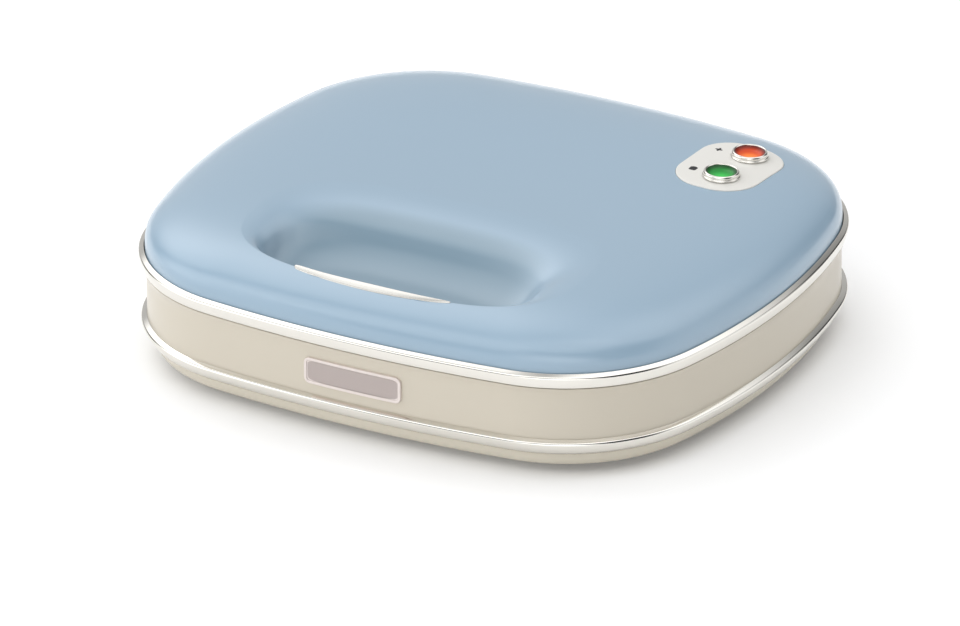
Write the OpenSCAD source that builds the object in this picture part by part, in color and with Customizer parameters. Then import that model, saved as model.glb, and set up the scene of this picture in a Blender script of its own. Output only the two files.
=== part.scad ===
// Sandwich toaster with a hinged, domed lid: two non-stick plates in a pillow-shaped housing.
// X runs across the front, Y from front to back, Z up. The feet stand on z = 0.

/* [Plan outline] */
// Housing on each side of the plates, out to the lid trim
side_room = 25; // [23:0.5:32]
// Housing in front of the plates
front_room = 71.5; // [68:0.5:80]
// Housing behind the plates
rear_room = 37.5; // [36:0.5:46]
// Radius of the long front and rear curves
front_arc_r = 555; // [480:5:700]
// Radius of the left and right curves
side_arc_r = 265; // [240:5:320]
// Radius of the four corners
corner_r = 65; // [56:1:70]

/* [Heights] */
// Height of the feet below the tray
foot_h = 3.4; // [2.6:0.1:6]
// Height of the tray's side
tray_h = 6.4; // [5.6:0.1:8]
// Height of the lower chrome trim
base_trim_h = 7; // [6.4:0.1:9]
// Height of the cream band above the lower trim
band_h = 22.2; // [20:0.2:32]
// Gap between the closed lid and the base
split_gap = 0.4; // [0.3:0.05:0.8]
// Height of the upper chrome trim
lid_trim_h = 5.95; // [5:0.05:8]
// Rise of the lid's dome above its trim
dome_rise = 19.1; // [17:0.1:24]

/* [Dome shape] */
// How flat the dome stays before it rolls over
dome_flat = 5; // [4:0.1:6]
// How square the dome's shoulder is
dome_square = 2.9; // [2.4:0.1:3.5]

/* [Walls] */
// Wall of the lid cover
cover_wall = 2.2; // [1.6:0.1:2.6]
// Wall of the cream band
band_wall = 2.2; // [1.6:0.1:3]
// Thickness of the pressed chrome trims
trim_wall = 1.1; // [0.8:0.05:1.2]
// Thickness of the two inner frames
frame_wall = 2.2; // [1.8:0.1:2.6]
// Floor of the tray
tray_wall = 2; // [1.6:0.1:2.6]
// Sheet of the reflectors
sheet = 0.8; // [0.6:0.1:1]

/* [Insets from the plan outline] */
// Where the blue cover meets its trim
cover_in = 2.6; // [2:0.1:3]
// Face of the cream band
band_in = 3.1; // [2.8:0.1:4]
// Crest of the lower trim
base_crest_in = 0.6; // [0.3:0.1:1]

/* [Finger scoop] */
// Half of the scoop's length at its soft edge
scoop_half = 72; // [66:1:76]
// Front edge of the scoop, from the front of the housing
scoop_in = 18; // [17:0.5:22]
// How far the scoop's soft back edge reaches over the plates
scoop_over = 23; // [18:0.5:26]
// Depth of the scoop below the dome
scoop_deep = 14; // [10:0.5:15]
// How far the scoop reaches under its front lip
scoop_under = 4; // [1:0.5:6]
// Half of the length of the chrome grip strip
grip_half = 34.7; // [25:0.5:38]
// Width of the grip strip
grip_w = 4.8; // [3.5:0.1:5.5]
// Height of its upper face over the lid
grip_proud = 0.85; // [0.8:0.05:1.2]
// Depth of its seat in the lid
grip_sunk = 0.9; // [0.7:0.05:1.1]

/* [Plates] */
// Width of each toasting plate
plate_w = 208; // [202:1:212]
// Depth of each toasting plate
plate_d = 118; // [114:1:120]
// Corner radius of the plates
plate_r = 14; // [11:1:18]
// Thickness of the plates' flange
flange_t = 2.4; // [2:0.1:3]
// Casting wall round each pocket
cast_wall = 2.2; // [1.8:0.1:2.6]
// Flat rim outside the pockets
plate_rim = 7; // [7:0.5:9]
// Width of the ridges between pockets
ridge_w = 4; // [3:0.5:6]
// Depth of the lower pockets
lower_pocket = 12; // [9:0.5:13]
// Depth of the upper pockets
upper_pocket = 8; // [6:0.5:8.5]
// Gap between the closed plates
plate_gap = 0.6; // [0.4:0.1:1]

/* [Heating] */
// Diameter of the tubular heating elements
heater_d = 6.4; // [5:0.1:6.8]
// Half of the heating loop's width
loop_x = 60; // [58:1:61]
// Half of the heating loop's depth
loop_y = 28; // [27:0.5:30]

/* [Hinge] */
// Distance of each hinge from the middle
hinge_x = 62; // [56:1:66]
// How far the hinge axis lies behind the housing
hinge_back = 1.5; // [1.4:0.1:3]
// How far the hinge axis lies below the lid
hinge_drop = 2.9; // [2.7:0.1:3.2]
// Diameter of the hinge pins
pin_d = 4; // [3:0.1:4.4]
// Radial running clearance of the lid arms on their pins
pin_play = 0.05; // [0.02:0.01:0.1]
// Radius of the fixed hinge ears
ear_r = 4.2; // [4:0.1:4.4]
// Thickness of each fixed ear
ear_t = 3.2; // [2.4:0.1:4]
// Width of the moving knuckle
knuckle_w = 14; // [10:0.5:16]
// Gap on each side of the moving knuckle
knuckle_gap = 0.35; // [0.3:0.05:0.5]

/* [Lamps] */
// Lamp panel's centre from the side of the housing
panel_in_x = 56.5; // [52:0.5:60]
// Lamp panel's centre from the back of the housing
panel_in_y = 52.7; // [50:0.1:56]
// Lamp panel's width
panel_w = 37; // [34:1:39]
// Lamp panel's depth
panel_d = 47; // [45:1:49]
// Distance between the two lamps
lamp_pitch = 22.8; // [20:0.2:24]
// Outer diameter of the lamp bezels
bezel_d = 15; // [14.6:0.1:16]
// Diameter of the lamp lenses
lens_d = 12; // [10:0.1:12.2]
// Diameter of the lamp bulbs
bulb_d = 6; // [5:0.1:6.4]

/* [Badge] */
// Width of the bare badge
badge_w = 43; // [36:1:50]
// Height of the bare badge
badge_h = 11; // [9:0.5:13]
// Thickness of the badge
badge_t = 1.1; // [0.8:0.1:1.4]

/* [Fittings] */
// Diameter of the rubber feet
foot_d = 16; // [12:0.5:20]
// Bore of the cord gland
gland_bore_d = 6.6; // [6:0.1:8]
// Diameter of the casing screws
screw_d = 3; // [2.5:0.1:3.5]
// Number of cooling slots on each side of the tray
slot_count = 7; // [3:1:8]

/* [Hidden] */

half_w = side_room + plate_w / 2;
half_d = (front_room + plate_d + rear_room) / 2;
plate_back = (front_room - rear_room) / 2;   // plates' centre behind the housing's centre
scoop_front = half_d - scoop_in;
scoop_back = plate_d / 2 - plate_back - scoop_over;
panel_x = half_w - panel_in_x;
panel_y = half_d - panel_in_y;
eps = 0.01;
seat = 0.1;            // gap between pieces that rest on each other
slip = 0.3;            // gap round a piece that drops into a recess
side_steps = 6;        // facets along each part of the outline
corner_steps = 9;
front_steps = 8;

// Levels, from the table up
tray_z = foot_h;
trim_z = tray_z + tray_h;
band_z = trim_z + base_trim_h;
band_top = band_z + band_h;
lid_z = band_top + split_gap;
rim_z = lid_z + lid_trim_h;
dome_top = rim_z + dome_rise;

// Plates: the lower one stands just proud of the base frame, the upper one just below the lid's
lower_z = band_top - seat;
upper_z = lower_z + plate_gap;
base_frame_z = lower_z - flange_t;
lid_frame_z = upper_z + 0.2;
lid_ledge_z = upper_z + flange_t;
ledge_w = 4;           // part of the plate's flange that the frame carries
ledge_t = 1.6;
lower_back_z = lower_z - lower_pocket - cast_wall;
upper_back_z = upper_z + upper_pocket + cast_wall;
heater_gap = 0.2;
draft = 15;            // slope of the pocket walls, in degrees

// Hinge axis, in the body's own frame
hinge_y = half_d + hinge_back;
hinge_z = lid_z - hinge_drop;
// The origin is the middle of the whole toaster's box, hinge included
y_shift = -(hinge_y + ear_r - half_d) / 2;

// Corner centres: tangent to the front and side curves
front_c = half_d - front_arc_r;
side_c = half_w - side_arc_r;
reach_f = front_arc_r - corner_r;
reach_s = side_arc_r - corner_r;
axis_len = norm([side_c, front_c]);
axis_dir = [side_c, -front_c] / axis_len;
axis_x = (axis_len * axis_len + reach_f * reach_f - reach_s * reach_s) / (2 * axis_len);
axis_h = sqrt(reach_f * reach_f - axis_x * axis_x);
corner_c = [0, front_c] + axis_dir * axis_x + [axis_dir[1], -axis_dir[0]] * axis_h;
turn_s = atan2(corner_c[1], corner_c[0] - side_c);
turn_f = atan2(corner_c[1] - front_c, corner_c[0]);

function arc(c, r, a0, a1, n) =
    [for (i = [0:n - 1]) let (t = a0 + (a1 - a0) * i / n) [c[0] + r * cos(t), c[1] + r * sin(t)]];

// Pillow outline of eight tangent arcs, moved inwards by d
function outline(d) = concat(
    arc([side_c, 0], side_arc_r - d, -turn_s, turn_s, side_steps),
    arc(corner_c, corner_r - d, turn_s, turn_f, corner_steps),
    arc([0, front_c], front_arc_r - d, turn_f, 180 - turn_f, front_steps),
    arc([-corner_c[0], corner_c[1]], corner_r - d, 180 - turn_f, 180 - turn_s, corner_steps),
    arc([-side_c, 0], side_arc_r - d, 180 - turn_s, 180 + turn_s, side_steps),
    arc(-corner_c, corner_r - d, 180 + turn_s, 180 + turn_f, corner_steps),
    arc([0, -front_c], front_arc_r - d, 180 + turn_f, 360 - turn_f, front_steps),
    arc([corner_c[0], -corner_c[1]], corner_r - d, 360 - turn_f, 360 - turn_s, corner_steps)
);
function level(pts, z) = [for (p = pts) [p[0], p[1], z]];
function loop_at(p) = level(outline(p[0]), p[1]);

// Rear face of the housing at a distance x from the middle, moved inwards by d
function rear_y(x, d) = front_c + sqrt(pow(front_arc_r - d, 2) - x * x);

// Skin over a stack of rings; capped at both ends, or joined end to end when closed
module skin(rings, closed = false) {
    n = len(rings[0]);
    m = len(rings);
    mid = [for (r = [rings[0], rings[m - 1]]) [for (k = [0:2]) [for (p = r) 1] * [for (p = r) p[k]] / n]];
    pts = concat([for (r = rings) each r], mid);
    sides = [for (j = [0:(closed ? m - 1 : m - 2)], i = [0:n - 1])
        let (k = (i + 1) % n, u = ((j + 1) % m) * n, v = j * n) [v + i, u + i, u + k, v + k]];
    caps = closed ? [] : [for (i = [0:n - 1], e = [0, 1])
        let (k = (i + 1) % n, v = e * (m - 1) * n)
        e == 0 ? [v + i, v + k, m * n] : [v + k, v + i, m * n + 1]];
    polyhedron(closed ? [for (r = rings) each r] : pts, concat(sides, caps));
}

// Solid swept round the outline from a closed profile of [inset, height] points
module sweep_round(profile) {
    skin([for (p = profile) loop_at(p)], closed = true);
}

// Dome height over any point, from how far out the point lies towards the cover's edge
edge_pts = outline(cover_in);
edge_n = [for (i = [0:len(edge_pts) - 1])
    let (p = edge_pts[i], q = edge_pts[(i + 1) % len(edge_pts)], v = [q[1] - p[1], p[0] - q[0]]) v / (v * p)];
function out_to(x, y) = min(1, max([for (v = edge_n) v[0] * x + v[1] * y]));
function dome_z(x, y) = rim_z + dome_rise * pow(1 - pow(out_to(x, y), dome_flat), 1 / dome_square);
function dome_ring(s, d, rise) =
    [for (p = outline(d)) [p[0] * s, p[1] * s, rim_z + rise * pow(1 - pow(s, dome_flat), 1 / dome_square)]];
dome_steps = [0.3, 0.55, 0.7, 0.8, 0.87, 0.92, 0.955, 0.98, 0.994, 1];

function rounded_rect(w, d, r, cy = 0, n = 5) = [for (q = [0:3], i = [0:n])
    let (t = q * 90 + i * 90 / n, sx = (q == 0 || q == 3) ? 1 : -1, sy = q < 2 ? 1 : -1)
    [sx * (w / 2 - r) + r * cos(t), cy + sy * (d / 2 - r) + r * sin(t)]];

module plate_shape(grow) {
    polygon(rounded_rect(plate_w + 2 * grow, plate_d + 2 * grow, plate_r + grow, plate_back));
}

module both_sides() {
    children();
    mirror([1, 0, 0]) children();
}

// Screw places shared by the frames, the cover and the tray
boss_r = 3.5;
screw_r = screw_d / 2;
head_r = screw_r + 1.5;
head_h = 1.7;
side_boss_x = (plate_w / 2 + half_w) / 2 - 1;
frame_spots = [
    [corner_c[0] + 36, -corner_c[1] - 23],
    [side_boss_x, plate_back],
    [plate_w / 2 - 4.5, plate_back + plate_d / 2 + 3]
];

base_screw_len = 15;
lid_screw_len = 7.5;
bracket_screw_len = 6.5;
screw_end = 0.8;       // free depth of a blind hole beyond its screw

module screw(shank) {
    cylinder(r = head_r, h = head_h);
    translate([0, 0, head_h]) cylinder(r = screw_r, h = shank);
}

// ---- Lid cover ----

// Finger scoop: rings of [depth share, how far in from the end, back edge, front edge]
scoop_span = scoop_front - scoop_back;
scoop_profile = [
    [-0.45, 0, 0, 0], [0, 0, 0, 0], [0.03, 4, 0.1, 0], [0.09, 8, 0.2, 0], [0.18, 11, 0.29, 0],
    [0.3, 13.5, 0.36, 0.1], [0.48, 15.5, 0.41, 0.4], [0.67, 17.5, 0.46, 0.85], [0.86, 21, 0.54, 1],
    [0.97, 27, 0.63, 0.75], [1, 36, 0.72, -0.5]
];
scoop_steps = 40;
function scoop_ring(p, grow) =
    let (
        w = scoop_half - p[1] + grow,
        back = -scoop_back - scoop_span * p[2] + grow,
        front = -scoop_front - scoop_under * p[3] - grow,
        drop = p[0] < 0 ? p[0] * scoop_deep : p[0] * scoop_deep + grow
    )
    [for (i = [0:scoop_steps - 1])
        let (
            t = 360 * i / scoop_steps,
            x = w * sign(cos(t)) * pow(abs(cos(t)), 2 / 3),
            y = (back + front) / 2 + (back - front) / 2 * sign(sin(t)) * pow(abs(sin(t)), 2 / 3)
        )
        [x, y, dome_z(x, y) - drop]];

module scoop(grow) {
    skin([for (i = [len(scoop_profile) - 1:-1:0]) scoop_ring(scoop_profile[i], grow)]);
}

module dome(d, rise, from_z) {
    rings = [for (i = [len(dome_steps) - 1:-1:0]) dome_ring(dome_steps[i], d, rise)];
    skin(concat([level(outline(d), from_z)], rings));
}

cover_foot = lid_z + 1.2;
module lid_cover() {
    color("lightsteelblue") difference() {
        union() {
            difference() {
                dome(cover_in, dome_rise, cover_foot);
                translate([0, 0, -eps]) dome(cover_in + cover_wall, dome_rise - cover_wall, cover_foot);
            }
            intersection() {
                dome(cover_in, dome_rise, cover_foot);
                union() {
                    scoop(cover_wall);
                    both_sides() for (p = frame_spots) translate([p[0], p[1], cover_boss_z])
                        hull() {
                            cylinder(r = boss_r, h = 1, $fn = 24);
                            translate([0, 0, dome_rise]) cylinder(r = boss_r + 0.5, h = 1, $fn = 24);
                        }
                }
            }
        }
        scoop(0);
        both_sides() for (p = frame_spots) translate([p[0], p[1], cover_boss_z - 1])
            cylinder(r = screw_r + 0.1, $fn = 24,
                h = lid_screw_z + head_h + lid_screw_len + screw_end - cover_boss_z + 1);
        panel_body(slip / 2, 1, panel_t + seat);
        grip_body(seat);
        on_dome() for (k = [-1, 1]) lamp_at(k) translate([0, 0, -20])
            cylinder(r = collar_r + 0.3, h = 22, $fn = 32);
    }
}

// Rolled chrome trim round the lid's lower edge
module lid_trim_ring() {
    t = trim_wall;
    color("silver") sweep_round([
        [0.9, lid_z], [0.3, lid_z + 2.2], [0, rim_z - 1.9], [0.15, rim_z - 1.45], [0.5, rim_z - 1.15],
        [cover_in - seat, rim_z], [cover_in - seat, rim_z - t], [t + 0.4, rim_z - t - 1.3],
        [t + 0.3, lid_z + 2.2], [t + 0.9, lid_z]
    ]);
}

// Chrome strip let into the scoop's front lip
lip_arc_r = 172;
module grip_body(grow) {
    inner = lip_arc_r - grip_w - grow - 0.3;
    outer = lip_arc_r + grow;
    top_in = dome_z(0, -scoop_front) + grip_proud + 2 * grow;
    top_out = dome_z(0, -scoop_front - grip_w) + grip_proud + 2 * grow;
    sink = grip_proud + grip_sunk + 3 * grow;
    half_angle = asin((grip_half + grow) / lip_arc_r);
    translate([0, lip_arc_r - scoop_front - grip_w, 0])
        rotate([0, 0, 270 - half_angle]) rotate_extrude(angle = 2 * half_angle, $fn = 128)
            polygon([[inner, top_in - sink], [outer, top_out - sink], [outer, top_out], [inner, top_in]]);
}
module grip_trim() {
    color("white") grip_body(0);
}

// ---- Lamps ----

collar_r = lens_d / 2 + 0.8;
panel_top = 0.4;
panel_t = 1.5;
panel_r = 15.5;
slope_x = (dome_z(panel_x + 2, panel_y) - dome_z(panel_x - 2, panel_y)) / 4;
slope_y = (dome_z(panel_x, panel_y + 2) - dome_z(panel_x, panel_y - 2)) / 4;
lamp_off = [0.8, 0.8];      // middle of the two lamps from the panel's centre

module on_dome() {
    translate([panel_x, panel_y, dome_z(panel_x, panel_y)])
        rotate([atan(slope_y), -atan(slope_x), 0]) children();
}
module lamp_at(k) {
    translate([lamp_off[0], lamp_off[1] + k * lamp_pitch / 2, 0]) children();
}

// Rounded square that follows the dome, up to lift above it
module panel_body(grow, lift, deep) {
    shape = rounded_rect(panel_w + 2 * grow, panel_d + 2 * grow, panel_r + grow);
    function ring(s, h) = [for (p = shape)
        let (x = panel_x + p[0] * s, y = panel_y + p[1] * s) [x, y, dome_z(x, y) + h]];
    skin([ring(0.4, -deep), ring(0.75, -deep), ring(1, -deep),
        ring(1, lift - 0.2), ring(0.985, lift), ring(0.75, lift), ring(0.4, lift)]);
}

module lamp_panel() {
    color("whitesmoke") difference() {
        panel_body(0, panel_top, panel_t);
        on_dome() for (k = [-1, 1]) lamp_at(k) translate([0, 0, -6])
            cylinder(r = collar_r + 0.1, h = 12, $fn = 64);
    }
}

module bezel(k) {
    color("silver") on_dome() lamp_at(k) rotate_extrude($fn = 64) polygon([
        [collar_r, -cover_wall - 1], [collar_r, panel_top + seat], [bezel_d / 2, panel_top + seat],
        [bezel_d / 2, panel_top + 0.5], [bezel_d / 2 - 0.5, panel_top + 1.4],
        [bezel_d / 2 - 0.8, panel_top + 2.2], [bezel_d / 2 - 1, panel_top + 2.3],
        [lens_d / 2 + 0.05, panel_top + 2.3], [lens_d / 2 + 0.05, -cover_wall - 1]
    ]);
}

module lens(k, tint) {
    color(tint) on_dome() lamp_at(k) rotate_extrude($fn = 64) polygon([
        [0, -1.4], [lens_d / 2 - 0.05, -1.4], [lens_d / 2 - 0.05, 0.9], [lens_d / 2 - 0.9, 1.2],
        [3, 1.55], [0, 1.65]
    ]);
}

holder_top = -cover_wall - 1.3;
module lamp_holder() {
    color("dimgray") on_dome() difference() {
        lamp_at(0) translate([0, 0, holder_top - 3.4])
            cube([bulb_d + 6, lamp_pitch + bulb_d + 5, 6.8], center = true);
        for (k = [-1, 1]) lamp_at(k) translate([0, 0, holder_top - 12])
            cylinder(r = bulb_d / 2 + 0.3, h = 14, $fn = 32);
    }
}
module lamp_bulbs() {
    color("orange") on_dome() for (k = [-1, 1]) lamp_at(k) translate([0, 0, holder_top - 6.2]) {
        cylinder(d = bulb_d, h = 4.5, $fn = 32);
        translate([0, 0, 4.5]) sphere(d = bulb_d, $fn = 32);
    }
}

// ---- Lid frame and its screws ----

boss_h = ledge_t + flange_t - 0.2;
cover_boss_z = lid_frame_z + boss_h;
lid_screw_z = lid_frame_z + 0.2;
module lid_inner_frame() {
    color("dimgray") difference() {
        union() {
            translate([0, 0, lid_frame_z]) linear_extrude(frame_wall)
                polygon(outline(cover_in + cover_wall + slip));
            translate([0, 0, lid_frame_z]) linear_extrude(boss_h) plate_shape(ledge_w);
            both_sides() for (p = frame_spots) translate([p[0], p[1], lid_frame_z])
                cylinder(r = 5, h = boss_h, $fn = 48);
        }
        translate([0, 0, lid_frame_z - 1]) linear_extrude(lid_ledge_z - lid_frame_z + 1) plate_shape(slip);
        translate([0, 0, lid_frame_z - 1]) linear_extrude(boss_h + 2) plate_shape(-ledge_w);
        both_sides() for (p = frame_spots) translate([p[0], p[1], lid_frame_z - 1]) {
            cylinder(r = head_r + 0.2, h = 1 + head_h + 0.3, $fn = 48);
            cylinder(r = screw_r + 0.3, h = boss_h + 2, $fn = 48);
        }
        both_sides() translate([hinge_x - arm_w / 2 - slip, leg_y - slip, lid_frame_z - 1])
            cube([arm_w + 2 * slip, leg_t + 2 * slip, frame_wall + 2]);
        both_sides() for (y = arm_screw_y) translate([hinge_x, y, lid_frame_z - 1]) {
            cylinder(r = screw_r + 1.3, h = 1 + 1.3, $fn = 48);
            cylinder(r = screw_r + 0.2, h = frame_wall + 2, $fn = 48);
        }
    }
}
module lid_frame_screws() {
    color("silver") both_sides() for (p = frame_spots)
        translate([p[0], p[1], lid_screw_z]) screw(lid_screw_len);
}

// ---- Toasting plates ----

// Corners of a triangle moved inwards by d; the triangle runs anticlockwise
function cross2(u, v) = u[0] * v[1] - u[1] * v[0];
function unit(v) = v / norm(v);
function inner_tri(tri, d) = [for (k = [0:2])
    let (
        p = tri[k], u = unit(tri[k] - tri[(k + 2) % 3]), v = unit(tri[(k + 1) % 3] - tri[k]),
        a = p + d * [-u[1], u[0]], b = p + d * [-v[1], v[0]]
    )
    a + u * (cross2(b - a, v) / cross2(u, v))];
// Triangle with round corners, as a ring of points
function tri_ring(tri, d, r, z, n = 3) =
    let (c = inner_tri(tri, d + r)) [for (k = [0:2], i = [0:n])
        let (
            u = tri[k] - tri[(k + 2) % 3], v = tri[(k + 1) % 3] - tri[k],
            a0 = atan2(u[1], u[0]) - 90, turn = (atan2(v[1], v[0]) - 90 - a0 + 720) % 360,
            t = a0 + turn * i / n
        )
        [c[k][0] + r * cos(t), c[k][1] + r * sin(t), z]];

cell_w = (plate_w - 2 * plate_rim - ridge_w) / 2;
cell_d = plate_d - 2 * plate_rim;
cell_x = ridge_w / 2;
cell_y = plate_back - cell_d / 2;
// The two triangles of the right-hand bread slice, before half of the diagonal ridge is taken off
near_tri = [[cell_x, cell_y], [cell_x + cell_w, cell_y], [cell_x, cell_y + cell_d]];
far_tri = [[cell_x + cell_w, cell_y + cell_d], [cell_x, cell_y + cell_d], [cell_x + cell_w, cell_y]];
pocket_r = 8;
// Moves a triangle's long side in by half of the ridge
function ridged(tri) =
    let (u = unit(tri[2] - tri[1]), n = [-u[1], u[0]], off = ridge_w / 2,
        a = unit(tri[1] - tri[0]), b = unit(tri[2] - tri[0]))
    [tri[0], tri[1] - a * off / abs(n * a), tri[2] - b * off / abs(n * b)];

module pocket(tri, deep, grow) {
    lean = tan(draft);
    t = ridged(tri);
    skin([
        tri_ring(t, deep * lean + 2.5 - grow, pocket_r - 3 + grow, -deep - grow),
        tri_ring(t, (deep - 2.5) * lean - grow, pocket_r - 1 + grow, -deep + 2.5 - grow),
        tri_ring(t, grow > 0 ? -grow : -lean, pocket_r + grow, grow > 0 ? -1 : 1)
    ]);
}

// Plate with its rim at z = 0 and its pockets below
stud_spots = [[38, plate_back - 18], [52, plate_back + 18.5]];
stud_r = 3;
stud_h = heater_gap + heater_d + 0.9;
module plate(deep) {
    difference() {
        union() {
            translate([0, 0, -flange_t]) linear_extrude(flange_t) plate_shape(0);
            both_sides() for (t = [near_tri, far_tri]) pocket(t, deep, cast_wall);
            both_sides() for (p = stud_spots) translate([p[0], p[1], -deep - cast_wall - stud_h])
                cylinder(r = stud_r, h = stud_h + 0.5, $fn = 48);
        }
        both_sides() for (t = [near_tri, far_tri]) pocket(t, deep, 0);
        both_sides() for (p = stud_spots) translate([p[0], p[1], -deep - cast_wall - stud_h - 1])
            cylinder(r = screw_r - 0.3, h = stud_h - 0.5, $fn = 48);
    }
}
module lower_plate() {
    color("dimgray") translate([0, 0, lower_z]) plate(lower_pocket);
}
module upper_plate() {
    color("dimgray") translate([0, 0, upper_z]) mirror([0, 0, 1]) plate(upper_pocket);
}

// Heating tube bent into a loop, with two cold ends towards the back
bend_r = 9;
end_x = 12;
end_len = 34;
module bar(a, b) {
    v = b - a;
    translate([a[0], a[1], 0]) rotate([0, 90, atan2(v[1], v[0])])
        cylinder(d = heater_d, h = norm(v), $fn = 48);
}
module bend(c, from) {
    translate([c[0], c[1], 0]) rotate([0, 0, from]) rotate_extrude(angle = 90, $fn = 96)
        translate([bend_r, 0]) circle(d = heater_d, $fn = 48);
}
module heating_loop() {
    x = loop_x;
    y = loop_y;
    r = bend_r;
    translate([0, plate_back, 0]) union() {
        both_sides() {
            bar([end_x, y + end_len], [end_x, y + r]);
            bend([end_x + r, y + r], 180);
            bar([end_x + r, y], [x - r, y]);
            bend([x - r, y - r], 0);
            bar([x, y - r], [x, r - y]);
            bend([x - r, r - y], 270);
        }
        bar([x - r, -y], [r - x, -y]);
    }
}
lower_heater_z = lower_back_z - heater_gap - heater_d / 2;
upper_heater_z = upper_back_z + heater_gap + heater_d / 2;
module lower_heating_element() {
    color("gray") translate([0, 0, lower_heater_z]) heating_loop();
}
module upper_heating_element() {
    color("gray") translate([0, 0, upper_heater_z]) heating_loop();
}

// Reflector with its flange at z = 0, a deck under the pockets and a deeper box round the heater
deck_gap = 0.3;
hump_r = 10;
module reflector(deck, box) {
    hump_w = 2 * loop_x + heater_d + 4;
    hump_d = 2 * (loop_y + bend_r) + 3;
    difference() {
        union() {
            translate([0, 0, -sheet]) linear_extrude(sheet) plate_shape(-1);
            translate([0, 0, -deck - sheet]) linear_extrude(deck + sheet) plate_shape(-ledge_w);
            translate([0, 0, -box - sheet]) linear_extrude(box)
                polygon(rounded_rect(hump_w, hump_d, hump_r, plate_back));
        }
        translate([0, 0, -deck]) linear_extrude(deck + 1) plate_shape(-ledge_w - sheet);
        translate([0, 0, -box]) linear_extrude(box)
            polygon(rounded_rect(hump_w - 2 * sheet, hump_d - 2 * sheet, hump_r - sheet, plate_back));
        both_sides() for (p = stud_spots) translate([p[0], p[1], -box - 2])
            cylinder(r = screw_r, h = 4, $fn = 32);
        both_sides() translate([end_x, plate_back, -deck + deck_gap - heater_gap - heater_d / 2])
            rotate([-90, 0, 0]) cylinder(d = heater_d + 1, h = plate_d / 2 + 2, $fn = 48);
    }
}
under_ledge = lower_z - flange_t - ledge_t - seat;
lower_deck = under_ledge - lower_back_z + deck_gap;
lower_box = under_ledge - lower_back_z + stud_h + seat;
over_ledge = upper_z + flange_t + ledge_t + seat;
upper_deck = upper_back_z - over_ledge + deck_gap;
upper_box = upper_back_z - over_ledge + stud_h + seat;
module lower_reflector() {
    color("lightgray") translate([0, 0, under_ledge]) reflector(lower_deck, lower_box);
}
module upper_reflector() {
    color("lightgray") translate([0, 0, over_ledge]) mirror([0, 0, 1]) reflector(upper_deck, upper_box);
}
module stud_screws() {
    both_sides() for (p = stud_spots) translate([p[0], p[1], 0]) {
        translate([0, 0, -1.3]) cylinder(r = screw_r + 1.2, h = 1.3, $fn = 32);
        cylinder(r = screw_r - 0.4, h = stud_h - 1, $fn = 32);
    }
}
module lower_plate_screws() {
    color("silver") translate([0, 0, under_ledge - lower_box - sheet - 0.05]) stud_screws();
}
module upper_plate_screws() {
    color("silver") translate([0, 0, over_ledge + upper_box + sheet + 0.05]) mirror([0, 0, 1]) stud_screws();
}

// ---- Hinge ----

arm_w = knuckle_w;
arm_t = 3.6;
leg_t = 3.4;
leg_y = hinge_y - 17;
leg_gap = 1.4;         // between the arm's leg or pad and what it passes
pad_len = leg_y + leg_t - (plate_back + plate_d / 2 + ledge_w + leg_gap);
pad_t = 2.8;
arm_screw_y = [leg_y - pad_len + 5, leg_y - 6];
pad_z = lid_frame_z + frame_wall;
module hinge_arm() {
    low = hinge_z - arm_t / 2 - 0.2;
    translate([hinge_x - arm_w / 2, 0, 0]) difference() {
        union() {
            translate([0, hinge_y, hinge_z]) rotate([0, 90, 0])
                cylinder(r = ear_r - 0.3, h = arm_w, $fn = 64);
            translate([0, leg_y, low]) cube([arm_w, hinge_y - leg_y, arm_t]);
            translate([0, leg_y, low]) cube([arm_w, leg_t, pad_z + pad_t - low]);
            translate([0, leg_y - pad_len + leg_t, pad_z]) cube([arm_w, pad_len, pad_t]);
        }
        translate([-1, hinge_y, hinge_z]) rotate([0, 90, 0])
            cylinder(r = pin_d / 2 + pin_play, h = arm_w + 2, $fn = 64);
        for (y = arm_screw_y) translate([arm_w / 2, y, pad_z - 1])
            cylinder(r = screw_r + 0.05, h = pad_t + 2, $fn = 48);
    }
}
module hinge_arm_right() {
    color("darkgray") hinge_arm();
}
module hinge_arm_left() {
    color("darkgray") mirror([1, 0, 0]) hinge_arm();
}
module hinge_arm_screws() {
    color("silver") both_sides() for (y = arm_screw_y) translate([hinge_x, y, lid_frame_z + 0.05]) {
        cylinder(r = screw_r + 1.1, h = 1.2, $fn = 48);
        cylinder(r = screw_r, h = frame_wall + pad_t - 0.3, $fn = 48);
    }
}

ear_in = knuckle_w / 2 + knuckle_gap;
ear_out = ear_in + ear_t;
bracket_low = hinge_z - 14;
module ear_shape() {
    hull() {
        translate([hinge_y, hinge_z]) circle(r = ear_r, $fn = 40);
        translate([hinge_y - 10, bracket_low]) square([7, 9]);
    }
    translate([rear_y(hinge_x + ear_out, band_in) - 2, bracket_low])
        square([hinge_y - 4 - rear_y(hinge_x + ear_out, band_in), 9]);
}
module hinge_bracket() {
    difference() {
        union() {
            for (s = [-1, 1]) translate([hinge_x + s * (ear_in + ear_t / 2), 0, 0]) rotate([90, 0, 90])
                translate([0, 0, -ear_t / 2]) linear_extrude(ear_t) ear_shape();
            translate([hinge_x - ear_out + eps, hinge_y - 14, bracket_low])
                cube([2 * ear_out - 2 * eps, 10, 9]);
        }
        translate([0, 0, bracket_low - 1]) linear_extrude(40) polygon(outline(band_in - 0.05));
        translate([0, 0, band_top - 6.3]) linear_extrude(20) polygon(outline(1));
        translate([hinge_x - ear_out - 1, hinge_y, hinge_z]) rotate([0, 90, 0])
            cylinder(r = pin_d / 2 + 0.02, h = 2 * ear_out + 2, $fn = 64);
        for (s = [-1, 1]) translate([hinge_x + s * bracket_screw_x, hinge_y - 20, bracket_screw_z])
            rotate([-90, 0, 0]) cylinder(r = screw_r + 0.05, $fn = 48,
                h = bracket_screw_y(s) + bracket_screw_len + screw_end - hinge_y + 20);
    }
}
bracket_screw_x = 5;
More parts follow.
